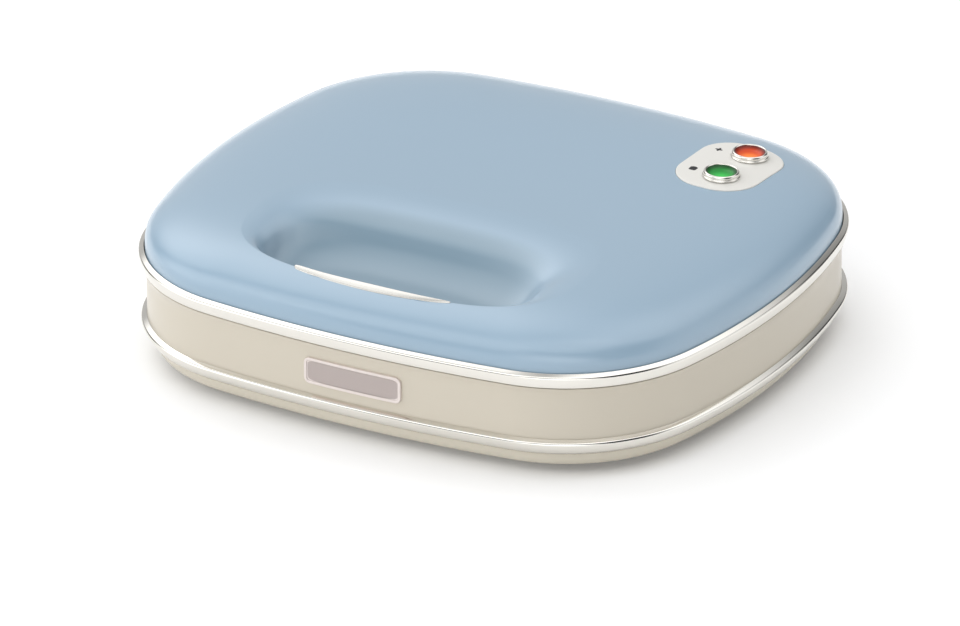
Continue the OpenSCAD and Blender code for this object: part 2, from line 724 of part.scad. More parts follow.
bracket_screw_z = bracket_low + 4.5;
function bracket_screw_y(s) = rear_y(hinge_x + s * bracket_screw_x + 2.6, band_in + band_wall) - 0.3;
module hinge_bracket_right() {
    color("gainsboro") hinge_bracket();
}
module hinge_bracket_left() {
    color("gainsboro") mirror([1, 0, 0]) hinge_bracket();
}
module hinge_bracket_screws() {
    color("silver") both_sides() for (s = [-1, 1])
        translate([hinge_x + s * bracket_screw_x, bracket_screw_y(s), bracket_screw_z]) rotate([-90, 0, 0]) {
            translate([0, 0, -1.6]) cylinder(r = screw_r + 1.2, h = 1.6, $fn = 32);
            cylinder(r = screw_r, h = bracket_screw_len, $fn = 32);
        }
}
module hinge_pin() {
    translate([hinge_x - ear_out - 1.1, hinge_y, hinge_z]) rotate([0, 90, 0]) {
        cylinder(r = pin_d / 2, h = 2 * ear_out + 1.5, $fn = 64);
        cylinder(r = pin_d / 2 + 1, h = 1, $fn = 64);
    }
}
module hinge_pin_right() {
    color("silver") hinge_pin();
}
module hinge_pin_left() {
    color("silver") mirror([1, 0, 0]) hinge_pin();
}

// ---- Base ----

band_low = trim_z + 2.6;
notch_z = hinge_z - 3;
module base_band() {
    i = band_in;
    j = band_in + band_wall;
    color("wheat") difference() {
        sweep_round([
            [i, band_low], [i, band_top - 6], [i - 0.3, band_top - 3.8], [i - 1, band_top - 1.7],
            [1, band_top], [j, band_top], [j, band_low]
        ]);
        both_sides() translate([hinge_x - arm_w / 2 - 0.6, hinge_y - 20, notch_z])
            cube([arm_w + 1.2, 20, 20]);
        both_sides() for (s = [-1, 1])
            translate([hinge_x + s * bracket_screw_x, hinge_y - 20, bracket_screw_z])
            rotate([-90, 0, 0]) cylinder(r = screw_r + 0.2, h = 20, $fn = 32);
        translate([0, half_d - 20, gland_z]) rotate([-90, 0, 0])
            cylinder(r = gland_r + 0.15, h = 30, $fn = 48);
        for (s = [-1, 1]) translate([s * badge_pin_x, -half_d - 1, badge_z]) rotate([-90, 0, 0])
            cylinder(r = badge_pin_r + 0.1, h = 12, $fn = 32);
    }
}

// Rolled chrome trim between the band and the tray
module base_trim_ring() {
    t = trim_wall;
    c = base_crest_in;
    top = trim_z + base_trim_h;
    color("silver") sweep_round([
        [4, trim_z + seat], [c + 1.9, trim_z + 1.4], [c + 0.6, trim_z + 3.4], [c, top - 1.7],
        [c + 0.15, top - 1.2], [c + 0.5, top - 0.9], [band_in - seat, top], [band_in - seat, top - t],
        [c + t + 0.3, top - t - 1.1], [c + t + 0.4, trim_z + 4], [c + t + 1.4, trim_z + 2.3],
        [band_in + t, trim_z + 1.4], [band_in + t + 0.8, trim_z + seat + 0.9]
    ]);
}

// Bottom tray with cooling slots and screw wells
slot_w = 3.2;
slot_len = 30;
slot_pitch = 8;
well_h = 5.6;
module slot() {
    for (s = [-1, 1]) translate([0, s * slot_len / 2, -1]) cylinder(d = slot_w, h = tray_wall + 2, $fn = 32);
    translate([-slot_w / 2, -slot_len / 2, -1]) cube([slot_w, slot_len, tray_wall + 2]);
}
module base_tray() {
    z = tray_z;
    color("wheat") difference() {
        union() {
            skin([for (p = [
                [9.4, z], [7.4, z + 0.9], [5.8, z + 3], [4.7, trim_z - 0.1], [5.6, trim_z],
                [band_in + band_wall + slip, trim_z + 1.2], [band_in + band_wall + slip, trim_z + 5],
                [band_in + band_wall + slip + 1.8, trim_z + 5], [7.5, trim_z - 1.2],
                [9, z + tray_wall + 0.8], [10.6, z + tray_wall]
            ]) loop_at(p)]);
            both_sides() for (p = frame_spots) translate([p[0], p[1], z + 0.5])
                cylinder(r = 5, h = well_h - 0.5, $fn = 48);
        }
        both_sides() for (p = frame_spots) translate([p[0], p[1], z - 1]) {
            cylinder(r = head_r + 0.4, h = 1 + 3.4, $fn = 48);
            cylinder(r = screw_r + 0.3, h = 12, $fn = 48);
        }
        both_sides() for (i = [0:slot_count - 1])
            translate([38 + (i - (slot_count - 1) / 2) * slot_pitch, plate_back, z]) slot();
        for (x = [-1, 1], y = [-1, 1]) translate([x * foot_x, y * foot_y, z - 1])
            cylinder(r = foot_stem_r + 0.1, h = 8, $fn = 32);
    }
}

module base_inner_frame() {
    post_z = tray_z + well_h + 0.05;
    color("dimgray") difference() {
        union() {
            translate([0, 0, base_frame_z]) linear_extrude(frame_wall)
                polygon(outline(band_in + band_wall + slip));
            translate([0, 0, base_frame_z - ledge_t]) linear_extrude(ledge_t + 0.5) plate_shape(ledge_w);
            both_sides() for (p = frame_spots) translate([p[0], p[1], post_z])
                cylinder(r = boss_r, h = base_frame_z - post_z + 0.5, $fn = 48);
        }
        translate([0, 0, base_frame_z]) linear_extrude(frame_wall + 2) plate_shape(slip);
        translate([0, 0, base_frame_z - ledge_t - 1]) linear_extrude(frame_wall + ledge_t + 2)
            plate_shape(-ledge_w);
        both_sides() for (p = frame_spots) translate([p[0], p[1], post_z - 1])
            cylinder(r = screw_r + 0.05, $fn = 48,
                h = base_screw_z + head_h + base_screw_len + screw_end - post_z + 1);
        both_sides() translate([hinge_x - arm_w / 2 - 0.6, leg_y - leg_gap, base_frame_z - 2])
            cube([arm_w + 1.2, 30, frame_wall + 4]);
    }
}
base_screw_z = tray_z + 1.6;
module base_screws() {
    color("silver") both_sides() for (p = frame_spots)
        translate([p[0], p[1], base_screw_z]) screw(base_screw_len);
}

// Bare badge that follows the front curve, with a raised border and two pins
badge_z = band_low + (band_top - 6 - band_low) * 0.66 + 0.8;
badge_pin_x = 12;
badge_pin_r = 1.2;
badge_r = front_arc_r - band_in + 0.05;
module badge_shape(grow) {
    polygon([for (p = rounded_rect(badge_w + 2 * grow, badge_h + 2 * grow, 2.5 + grow)) p]);
}
module badge_plate() {
    color("silver") {
        difference() {
            intersection() {
                translate([0, -front_c, badge_z - badge_h])
                    cylinder(r = badge_r + badge_t, h = 2 * badge_h, $fn = 360);
                translate([0, -half_d + 8, badge_z]) rotate([90, 0, 0]) linear_extrude(16) badge_shape(0);
            }
            translate([0, -front_c, badge_z - badge_h]) cylinder(r = badge_r, h = 2 * badge_h, $fn = 360);
            intersection() {
                translate([0, -front_c, badge_z - badge_h]) difference() {
                    cylinder(r = badge_r + 3, h = 2 * badge_h, $fn = 360);
                    translate([0, 0, -1])
                        cylinder(r = badge_r + badge_t - 0.45, h = 2 * badge_h + 2, $fn = 360);
                }
                translate([0, -half_d + 8, badge_z]) rotate([90, 0, 0]) linear_extrude(16) badge_shape(-1.3);
            }
        }
        for (s = [-1, 1]) translate([s * badge_pin_x, -half_d + band_in + band_wall, badge_z])
            rotate([90, 0, 0]) cylinder(r = badge_pin_r, h = band_wall + 0.4, $fn = 32);
    }
}

// Control and wiring parts in the base
stat_x = -24;
stat_y = plate_back - 11;
module thermostat() {
    color("tan") translate([stat_x, stat_y, lower_back_z - seat]) mirror([0, 0, 1]) {
        cylinder(r = 8, h = 1.6, $fn = 64);
        translate([0, 0, 1.6]) cylinder(r = 7, h = 4.2, $fn = 64);
        for (s = [-1, 1]) translate([s * 4 - 0.4, -2.5, 5.8]) cube([0.8, 5, 0.7]);
    }
}
module thermal_fuse() {
    color("khaki") translate([-stat_x - 9, stat_y, lower_back_z - seat - 2.2]) rotate([0, 90, 0]) {
        cylinder(r = 2.2, h = 18, $fn = 48);
        translate([0, 0, -4]) cylinder(r = 0.6, h = 26, $fn = 24);
    }
}
block_w = 34;
block_d = 15;
block_h = 12;
block_y = half_d - 30;
module terminal_block() {
    color("ivory") difference() {
        translate([-block_w / 2, block_y, tray_z + tray_wall + 0.05]) cube([block_w, block_d, block_h]);
        for (i = [-1:1]) translate([i * 10.5, block_y - 1, tray_z + tray_wall + 5]) rotate([-90, 0, 0])
            cylinder(r = 1.9, h = block_d + 2, $fn = 32);
        for (i = [-1:1], y = [4, 11]) translate([i * 10.5, block_y + y, tray_z + tray_wall + 5])
            cylinder(r = 1.8, h = block_h, $fn = 32);
    }
}
module terminal_screws() {
    color("gold") for (i = [-1:1], y = [4, 11])
        translate([i * 10.5, block_y + y, tray_z + tray_wall + 6]) cylinder(r = 1.6, h = 5, $fn = 32);
}
gland_z = band_low + 13;
gland_r = 5.4;
module cord_gland() {
    color("dimgray") translate([0, rear_y(0, band_in), gland_z]) rotate([-90, 0, 0])
        rotate_extrude($fn = 64) polygon([
        [gland_bore_d / 2, -6], [gland_r + 1, -6], [gland_r + 1, -band_wall - 0.2],
        [gland_r, -band_wall - 0.2], [gland_r, 0.1], [8, 0.1], [8, 1.2], [7, 2], [gland_bore_d / 2, 2]
    ]);
}

// Rubber feet with a stem through the tray
foot_x = corner_c[0] + 18;
foot_y = corner_c[1] + 17;
foot_stem_r = 2.6;
module foot(sx, sy) {
    color("black") translate([sx * foot_x, sy * foot_y, 0]) rotate_extrude($fn = 64) polygon([
        [0, 0], [foot_d / 2 - 0.8, 0], [foot_d / 2, 0.8],
        [foot_d / 2, tray_z - 0.05], [foot_stem_r, tray_z - 0.05],
        [foot_stem_r, tray_z + tray_wall + 0.1], [foot_stem_r + 0.6, tray_z + tray_wall + 0.1],
        [foot_stem_r - 0.4, tray_z + tray_wall + 2], [0, tray_z + tray_wall + 2]
    ]);
}
module foot_front_left() { foot(-1, -1); }
module foot_front_right() { foot(1, -1); }
module foot_rear_left() { foot(-1, 1); }
module foot_rear_right() { foot(1, 1); }

translate([0, y_shift, 0]) {
    lid_cover();
    lid_trim_ring();
    grip_trim();
    lamp_panel();
    bezel(1);  // power_lamp_bezel
    bezel(-1);  // ready_lamp_bezel
    lens(1, "orangered");  // power_lamp_lens
    lens(-1, "limegreen");  // ready_lamp_lens
    lamp_holder();
    lamp_bulbs();
    lid_inner_frame();
    lid_frame_screws();
    upper_plate();
    upper_heating_element();
    upper_reflector();
    upper_plate_screws();
    hinge_arm_left();
    hinge_arm_right();
    hinge_arm_screws();
    base_band();
    base_trim_ring();
    base_tray();
    badge_plate();
    base_inner_frame();
    base_screws();
    lower_plate();
    lower_heating_element();
    lower_reflector();
    lower_plate_screws();
    thermostat();
    thermal_fuse();
    terminal_block();
    terminal_screws();
    cord_gland();
    foot_front_left();
    foot_front_right();
    foot_rear_left();
    foot_rear_right();
    hinge_bracket_left();
    hinge_bracket_right();
    hinge_bracket_screws();
    hinge_pin_left();
    hinge_pin_right();
}
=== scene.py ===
import math

import bmesh
import bpy
import numpy as np
from mathutils import Matrix, Vector


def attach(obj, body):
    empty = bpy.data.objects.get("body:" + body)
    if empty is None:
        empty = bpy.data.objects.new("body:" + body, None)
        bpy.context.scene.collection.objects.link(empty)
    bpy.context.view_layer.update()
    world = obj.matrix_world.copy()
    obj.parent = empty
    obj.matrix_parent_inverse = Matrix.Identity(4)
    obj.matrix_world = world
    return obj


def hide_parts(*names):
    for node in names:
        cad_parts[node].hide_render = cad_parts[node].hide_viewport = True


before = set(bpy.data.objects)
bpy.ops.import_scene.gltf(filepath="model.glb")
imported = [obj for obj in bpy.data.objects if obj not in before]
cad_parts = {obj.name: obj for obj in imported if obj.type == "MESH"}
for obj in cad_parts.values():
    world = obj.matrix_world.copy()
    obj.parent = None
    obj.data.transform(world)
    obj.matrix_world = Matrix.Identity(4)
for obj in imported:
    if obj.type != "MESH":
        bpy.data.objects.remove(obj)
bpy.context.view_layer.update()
print("frame loaded:", len(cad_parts), "nodes")

mm = 0.001

# Plan and heights of the housing, in millimetres
plan = {"width": 258, "depth": 227, "frontRadius": 555, "sideRadius": 265, "cornerRadius": 65,
        "shiftY": -2.85, "points": 720}
levels = {"trayLow": 3.4, "bandLow": 12.4, "trimTop": 16.8, "bandTop": 39.0, "lidLow": 39.4, "rim": 45.35}
insets = {"cover": 2.6, "band": 3.1}


# Eight tangent arcs: every point has a centre, a radius and a direction, so an inset only shortens the radius
def planArcs(p):
    sideC = p["width"] / 2 - p["sideRadius"]
    frontC = p["depth"] / 2 - p["frontRadius"]
    reachF, reachS = p["frontRadius"] - p["cornerRadius"], p["sideRadius"] - p["cornerRadius"]
    span = math.hypot(sideC, frontC)
    along = np.array([sideC, -frontC]) / span
    ax = (span ** 2 + reachF ** 2 - reachS ** 2) / (2 * span)
    ah = math.sqrt(reachF ** 2 - ax ** 2)
    corner = np.array([0, frontC]) + along * ax + np.array([along[1], -along[0]]) * ah
    turnS = math.atan2(corner[1], corner[0] - sideC)
    turnF = math.atan2(corner[1] - frontC, corner[0])
    pi = math.pi
    cx, cy = corner
    side, front, small = p["sideRadius"], p["frontRadius"], p["cornerRadius"]
    arcs = [(sideC, 0, side, -turnS, turnS), (cx, cy, small, turnS, turnF),
            (0, frontC, front, turnF, pi - turnF), (-cx, cy, small, pi - turnF, pi - turnS),
            (-sideC, 0, side, pi - turnS, pi + turnS), (-cx, -cy, small, pi + turnS, pi + turnF),
            (0, -frontC, front, pi + turnF, 2 * pi - turnF), (cx, -cy, small, 2 * pi - turnF, 2 * pi - turnS)]
    lengths = np.array([r * (b - a) for _, _, r, a, b in arcs])
    counts = np.maximum(8, np.round(p["points"] * lengths / lengths.sum())).astype(int)
    rows = [(np.full(n, x), np.full(n, y), np.full(n, r), a + (b - a) * np.arange(n) / n)
            for (x, y, r, a, b), n in zip(arcs, counts)]
    return [np.concatenate([row[k] for row in rows]) for k in range(4)] + [corner, frontC]


arcX, arcY, arcR, arcT, cornerAt, frontC = planArcs(plan)


# Outline moved inwards by a distance: centre plus (radius - inset) times the direction
def outline(inset):
    r = arcR - inset
    return np.stack([arcX + r * np.cos(arcT), arcY + r * np.sin(arcT)], -1)


# Rear or front face at a distance x from the middle
def faceY(x, inset):
    return frontC + np.sqrt((plan["frontRadius"] - inset) ** 2 - np.square(x))


# Distance from a centre to a closed outline along each direction
def reachOf(loop, centre, angles):
    rel = loop - centre
    t = np.arctan2(rel[:, 1], rel[:, 0])
    order = np.argsort(t)
    return np.interp(angles, t[order], np.hypot(rel[:, 0], rel[:, 1])[order], period=2 * math.pi)


def fullTurn(n):
    return np.linspace(0, 2 * math.pi, n, endpoint=False)


def unit(v):
    return v / np.linalg.norm(v, axis=-1, keepdims=True)


def atHeight(ring, z):
    return np.column_stack([ring, np.full(len(ring), z)])


# Quads of a grid of rows by columns; the columns close on themselves, and the rows may
def gridQuads(rows, cols, wrapRows=False):
    i = np.arange(rows if wrapRows else rows - 1)[:, None]
    j = np.arange(cols)[None, :]
    i2, j2 = (i + 1) % rows, (j + 1) % cols
    return np.stack([i * cols + j, i * cols + j2, i2 * cols + j2, i2 * cols + j], -1).reshape(-1, 4)


# A piece from points in millimetres (body frame) and a list of faces; it is closed, so outside is worked out
def makePiece(name, points, faces, sharp=35):
    points = np.asarray(points, float).reshape(-1, 3) * mm
    points[:, 1] += plan["shiftY"] * mm
    mesh = bpy.data.meshes.new(name)
    mesh.from_pydata(points.tolist(), [], [list(map(int, f)) for f in faces])
    mesh.validate()
    piece = bpy.data.objects.new(name, mesh)
    bpy.context.scene.collection.objects.link(piece)
    finishMesh(piece, sharp)
    return piece


def finishMesh(piece, sharp=35):
    mesh = piece.data
    bm = bmesh.new()
    bm.from_mesh(mesh)
    bmesh.ops.remove_doubles(bm, verts=bm.verts, dist=1e-6)
    bmesh.ops.recalc_face_normals(bm, faces=bm.faces)
    bm.to_mesh(mesh)
    bm.free()
    mesh.polygons.foreach_set("use_smooth", np.ones(len(mesh.polygons), bool))
    mesh.set_sharp_from_angle(angle=math.radians(sharp))
    mesh.update()


# Stack of rings with a flat fan at each end
def ringStack(name, rings, capped=True, wrapRows=False, sharp=35):
    rings = np.asarray(rings, float)
    rows, cols = rings.shape[:2]
    points = rings.reshape(-1, 3)
    faces = gridQuads(rows, cols, wrapRows).tolist()
    if capped and not wrapRows:
        points = np.vstack([points, rings[0].mean(0), rings[-1].mean(0)])
        a, b, n = rows * cols, rows * cols + 1, (rows - 1) * cols
        faces += [[(k + 1) % cols, k, a] for k in range(cols)]
        faces += [[n + k, n + (k + 1) % cols, b] for k in range(cols)]
    return makePiece(name, points, faces, sharp)


# Closed profile of [inset, height] points carried round the outline
def sweepRound(name, profile):
    return ringStack(name, [atHeight(outline(d), z) for d, z in profile], wrapRows=True)


# Smooth closed curve through points where corners carry their own rounding radius
def roundedPath(points, steps=7):
    pts = np.array([p[:2] for p in points], float)
    radii = [p[2] if len(p) > 2 else 0 for p in points]
    out = []
    for k, r in enumerate(radii):
        p, a, b = pts[k], pts[k - 1], pts[(k + 1) % len(pts)]
        if r <= 0:
            out.append(p)
            continue
        cut = min(r, 0.48 * np.linalg.norm(a - p), 0.48 * np.linalg.norm(b - p))
        t = np.linspace(0, 1, steps)[:, None]
        s, e = p + unit(a - p) * cut, p + unit(b - p) * cut
        out.extend(((1 - t) ** 2 * s + 2 * t * (1 - t) * p + t ** 2 * e).tolist())
    return np.array(out)


# Cuts one mesh from another, or joins it on, and keeps the result as plain mesh data
def combine(piece, cutter, how="DIFFERENCE"):
    mod = piece.modifiers.new("cut", "BOOLEAN")
    mod.operation = how
    mod.solver = "EXACT"
    mod.object = cutter
    bpy.context.view_layer.update()
    done = bpy.data.meshes.new_from_object(piece.evaluated_get(bpy.context.evaluated_depsgraph_get()))
    piece.modifiers.clear()
    old = piece.data
    piece.data = done
    bpy.data.meshes.remove(old)
    bpy.data.objects.remove(cutter)


# Several separate meshes gathered into the first of them
def gather(pieces):
    bm = bmesh.new()
    for piece in pieces:
        bm.from_mesh(piece.data)
    bm.to_mesh(pieces[0].data)
    bm.free()
    for piece in pieces[1:]:
        bpy.data.objects.remove(piece)
    return pieces[0]


def boxCutter(low, high):
    x, y, z = zip(low, high)
    points = [[x[i], y[j], z[k]] for i in (0, 1) for j in (0, 1) for k in (0, 1)]
    faces = [[0, 1, 3, 2], [4, 6, 7, 5], [0, 4, 5, 1], [2, 3, 7, 6], [0, 2, 6, 4], [1, 5, 7, 3]]
    return makePiece("cutter", points, faces)


# Round cutter along Y or Z
def rodCutter(at, radius, length, axis, sides=48):
    t = fullTurn(sides)
    u, v = radius * np.cos(t), radius * np.sin(t)
    rings = []
    for h in (0, length):
        ring = {"z": [u, v, np.full(sides, h)], "y": [u, np.full(sides, h), v]}[axis]
        rings.append(np.stack(ring, -1) + at)
    return ringStack("cutter", rings)


# A new node with its own settings, values for its inputs, and links into them
def addNode(tree, kind, values=None, links=None, **settings):
    node = tree.nodes.new("ShaderNode" + kind)
    for key, value in settings.items():
        setattr(node, key, value)
    for key, value in (values or {}).items():
        node.inputs[key].default_value = value
    for key, socket in (links or {}).items():
        tree.links.new(socket, node.inputs[key])
    return node


def objectCoords(tree):
    return addNode(tree, "TexCoord").outputs["Object"]


# A node group with named inputs, colours where the value is a tuple, and one output
def newGroup(name, inputs, output, kind="Float"):
    tree = bpy.data.node_groups.new(name, "ShaderNodeTree")
    for key, value in inputs.items():
        sort = "Color" if isinstance(value, tuple) else "Float"
        socket = tree.interface.new_socket(name=key, in_out="INPUT", socket_type="NodeSocket" + sort)
        socket.default_value = value
    tree.interface.new_socket(name=output, in_out="OUTPUT", socket_type="NodeSocket" + kind)
    return tree, tree.nodes.new("NodeGroupInput").outputs, tree.nodes.new("NodeGroupOutput").inputs[output]


# Group: a value that wanders gently between two bounds, from soft noise in the object's own space
def buildWander():
    tree, given, result = newGroup("softWander", {"Scale": 60.0, "Low": 0.1, "High": 0.2}, "Value")
    noise = addNode(tree, "TexNoise", {"Detail": 3.0},
                    {"Vector": objectCoords(tree), "Scale": given["Scale"]})
    spread = addNode(tree, "MapRange", {"From Min": 0.3, "From Max": 0.7},
                     {"Value": noise.outputs["Fac"], "To Min": given["Low"], "To Max": given["High"]})
    tree.links.new(spread.outputs["Result"], result)
    return tree


# Group: fine height of moulded or sprayed skin, two noises of different size mixed
def buildSkinHeight():
    tree, given, result = newGroup("skinHeight", {"Fine Scale": 900.0, "Broad Scale": 60.0,
                                                  "Broad Share": 0.5}, "Height")
    # the shift keeps the noise's own origin out of the object
    away = addNode(tree, "VectorMath", {1: (1.37, 1.11, 0.93)}, {0: objectCoords(tree)}).outputs["Vector"]
    fine = addNode(tree, "TexNoise", {"Detail": 2.0}, {"Vector": away, "Scale": given["Fine Scale"]})
    broad = addNode(tree, "TexNoise", {"Detail": 1.0}, {"Vector": away, "Scale": given["Broad Scale"]})
    mix = addNode(tree, "Mix", links={0: given["Broad Share"], 2: fine.outputs["Fac"],
                                      3: broad.outputs["Fac"]})
    tree.links.new(mix.outputs[0], result)
    return tree


# Group: colour drifts between two close tones
def buildToneDrift():
    tree, given, result = newGroup("toneDrift", {"Tone A": (0.5, 0.5, 0.5, 1), "Tone B": (0.6, 0.6, 0.6, 1),
                                                 "Scale": 12.0}, "Color", "Color")
    noise = addNode(tree, "TexNoise", {"Detail": 2.0},
                    {"Vector": objectCoords(tree), "Scale": given["Scale"]})
    mix = addNode(tree, "Mix", links={0: noise.outputs["Fac"], 6: given["Tone A"], 7: given["Tone B"]},
                  data_type="RGBA")
    tree.links.new(mix.outputs[2], result)
    return tree


wanderGroup, skinGroup, driftGroup = buildWander(), buildSkinHeight(), buildToneDrift()


# sRGB triple (0-255) to linear
def toLinear(rgb):
    c = np.array(rgb, float) / 255
    return tuple(np.where(c <= 0.04045, c / 12.92, ((c + 0.055) / 1.055) ** 2.4).tolist()) + (1.0,)


usualFinish = {"drift": 1.03, "driftScale": 14.0, "wanderScale": 50.0, "fine": 900.0, "broad": 60.0,
               "share": 0.5, "bump": 0.05, "bumpDepth": 0.0002}
shaderSockets = {"metal": "Metallic", "coat": "Coat Weight", "coatRough": "Coat Roughness",
                 "spec": "Specular IOR Level"}


# Finish with drifting colour, wandering roughness and a fine skin in the bump
def finish(name, s):
    s = {**usualFinish, **s}
    mat = bpy.data.materials.new(name)
    mat.use_nodes = True
    tree = mat.node_tree
    shader = tree.nodes["Principled BSDF"]
    other = [max(0, min(255, c * s["drift"])) for c in s["color"]]
    tone = addNode(tree, "Group", {"Tone A": toLinear(s["color"]), "Tone B": toLinear(other),
                                   "Scale": s["driftScale"]}, node_tree=driftGroup)
    rough = addNode(tree, "Group", {"Scale": s["wanderScale"], "Low": s["rough"][0], "High": s["rough"][1]},
                    node_tree=wanderGroup)
    skin = addNode(tree, "Group", {"Fine Scale": s["fine"], "Broad Scale": s["broad"],
                                   "Broad Share": s["share"]}, node_tree=skinGroup)
    bump = addNode(tree, "Bump", {"Strength": s["bump"], "Distance": s["bumpDepth"]},
                   {"Height": skin.outputs["Height"]})
    for socket, source in (("Base Color", tone), ("Roughness", rough), ("Normal", bump)):
        tree.links.new(source.outputs[0], shader.inputs[socket])
    for key, socket in shaderSockets.items():
        if key in s:
            shader.inputs[socket].default_value = s[key]
    return mat


looks = {
    "blueCover": {"color": (148, 173, 192), "drift": 1.005, "rough": (0.3, 0.34), "coat": 0.7,
                  "coatRough": 0.15, "bump": 0.01, "fine": 1400.0, "broad": 500.0, "share": 0.3},
    "chrome": {"color": (226, 223, 216), "rough": (0.07, 0.1), "metal": 1.0, "bump": 0.004, "fine": 600.0},
    "gripMetal": {"color": (204, 202, 196), "rough": (0.2, 0.26), "metal": 0.8, "bump": 0.01, "fine": 900.0},
    "panel": {"color": (224, 222, 216), "rough": (0.3, 0.36), "bump": 0.02, "fine": 2200.0, "share": 0.2},
    "icon": {"color": (26, 26, 28), "rough": (0.5, 0.6), "bump": 0.0},
    "cream": {"color": (203, 195, 179), "drift": 1.004, "rough": (0.3, 0.34), "coat": 0.15, "coatRough": 0.2,
              "bump": 0.012, "fine": 2400.0, "broad": 900.0, "share": 0.3},
    "tray": {"color": (205, 198, 182), "rough": (0.3, 0.38), "bump": 0.06, "fine": 2000.0, "share": 0.3},
    "badge": {"color": (222, 212, 207), "rough": (0.3, 0.34), "metal": 0.5, "bump": 0.0},
    "blackPlastic": {"color": (34, 34, 36), "rough": (0.42, 0.55), "bump": 0.15, "fine": 2400.0,
                     "share": 0.2},
    "holder": {"color": (212, 209, 200), "rough": (0.4, 0.5), "bump": 0.08, "fine": 1800.0},
    "steel": {"color": (176, 176, 177), "rough": (0.26, 0.38), "metal": 1.0, "bump": 0.05, "fine": 1500.0},
    "screw": {"color": (180, 178, 172), "rough": (0.22, 0.36), "metal": 1.0, "bump": 0.05, "fine": 1800.0},
    "element": {"color": (112, 104, 98), "drift": 0.8, "rough": (0.32, 0.5), "metal": 1.0, "bump": 0.1},
    "reflector": {"color": (196, 196, 198), "rough": (0.2, 0.34), "metal": 1.0, "bump": 0.05},
    "brass": {"color": (200, 170, 110), "rough": (0.22, 0.34), "metal": 1.0, "bump": 0.04},
    "rubber": {"color": (44, 43, 42), "rough": (0.6, 0.78), "bump": 0.2, "fine": 2600.0},
    "bulb": {"color": (240, 170, 120), "rough": (0.05, 0.09), "coat": 0.5, "bump": 0.0},
}
mats = {key: finish(key, s) for key, s in looks.items()}


# Another colour over a material's own, as much as a mask says
def overlay(mat, color, mask):
    tree = mat.node_tree
    base = tree.nodes["Principled BSDF"].inputs["Base Color"]
    own = base.links[0].from_socket
    mix = addNode(tree, "Mix", {7: toLinear(color)}, {0: mask, 6: own}, data_type="RGBA")
    tree.links.new(mix.outputs[2], base)


# Another tone inside a rounded patch: a superellipse in two of the object's axes, in millimetres
def tintWithin(mat, s):
    tree = mat.node_tree
    split = addNode(tree, "SeparateXYZ", links={0: objectCoords(tree)})
    raised = []
    for axis, half, middle in zip(s["axes"], s["half"], s["middle"]):
        value = split.outputs[axis]
        for operation, by in (("SUBTRACT", middle * mm), ("ABSOLUTE", 0), ("DIVIDE", half * mm),
                              ("POWER", s["power"])):
            value = addNode(tree, "Math", {1: by}, {0: value}, operation=operation).outputs[0]
        raised.append(value)
    total = addNode(tree, "Math", links={0: raised[0], 1: raised[1]})
    mask = addNode(tree, "MapRange", {"From Min": 1, "From Max": s["full"] ** s["power"]},
                   {"Value": total.outputs[0]}, interpolation_type="SMOOTHSTEP")
    overlay(mat, s["color"], mask.outputs["Result"])


# Painted shade: the cover's blue is made darker inside the scoop, as the shade of the recess painted into its
# colour
tintWithin(mats["blueCover"], {"color": (116, 143, 160), "axes": (0, 1), "half": (61, 31),
                               "middle": (-3, -67.5), "power": 3.2, "full": 0.66})


# Non-stick coating: near black, with a fine speckle in its colour
def nonStick(name, s):
    mat = finish(name, s)
    tree = mat.node_tree
    spots = addNode(tree, "TexVoronoi", {"Scale": s["speckScale"]}, {"Vector": objectCoords(tree)})
    ramp = addNode(tree, "MapRange", {"From Min": s["speckSize"][0], "From Max": s["speckSize"][1],
                                      "To Min": 1.0, "To Max": 0.0}, {"Value": spots.outputs["Distance"]})
    overlay(mat, s["speck"], ramp.outputs["Result"])
    return mat


mats["nonStick"] = nonStick("nonStick", {
    "color": (40, 40, 42), "rough": (0.3, 0.42), "bump": 0.25, "fine": 1400.0, "broad": 300.0, "share": 0.4,
    "speckScale": 900.0, "speckSize": (0.05, 0.16), "speck": (92, 92, 94)})


# Lens with painted light, by the distance to its own axis in millimetres: a painted highlight towards one side,
# standing for light from above gathered through the lens, and painted shade at its rim; the painted colour also
# goes into the emission, so the lens glows
def lensWithPaintedLight(name, s, centre, tilt):
    mat = finish(name, s)
    tree = mat.node_tree
    shader = tree.nodes["Principled BSDF"]
    place = addNode(tree, "Mapping", {"Location": centre, "Rotation": tilt, "Scale": (mm, mm, mm)},
                    {"Vector": objectCoords(tree)}, vector_type="TEXTURE")
    flat = addNode(tree, "VectorMath", {1: (1, 1, 0)}, {0: place.outputs["Vector"]}, operation="MULTIPLY")
    away = addNode(tree, "VectorMath", {1: s["paintedHighlightAt"]}, {0: flat.outputs["Vector"]}, operation="DISTANCE")
    radial = addNode(tree, "VectorMath", links={0: flat.outputs["Vector"]}, operation="LENGTH")
    # painted highlight round a spot to one side, then painted shade towards the rim
    paintedLight = addNode(tree, "MapRange", {"From Min": 0.0, "From Max": s["paintedHighlightSize"], "To Min": 1.0,
                                      "To Max": 0.0},
                   {"Value": away.outputs["Value"]}, interpolation_type="SMOOTHSTEP")
    rim = addNode(tree, "MapRange", {"From Min": s["paintedShadeFrom"], "From Max": s["paintedShadeTo"]},
                  {"Value": radial.outputs["Value"]}, interpolation_type="SMOOTHSTEP")
    mix = addNode(tree, "Mix", {6: toLinear(s["color"]), 7: toLinear(s["paintedHighlightTone"])},
                  {0: paintedLight.outputs["Result"]}, data_type="RGBA")
    dark = addNode(tree, "Mix", {7: toLinear(s["rim"])}, {0: rim.outputs["Result"], 6: mix.outputs[2]},
                   data_type="RGBA")
    # the painted highlight and rim shade go into the emission too, as a painted glow
    for socket in ("Base Color", "Emission Color"):
        tree.links.new(dark.outputs[2], shader.inputs[socket])
    shader.inputs["Emission Strength"].default_value = s["paintedLight"]
    return mat


print("materials built")


def dress(piece, look, body, nodes=()):
    piece.data.materials.clear()
    piece.data.materials.append(mats[look])
    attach(piece, body)
    if nodes:
        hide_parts(*nodes)


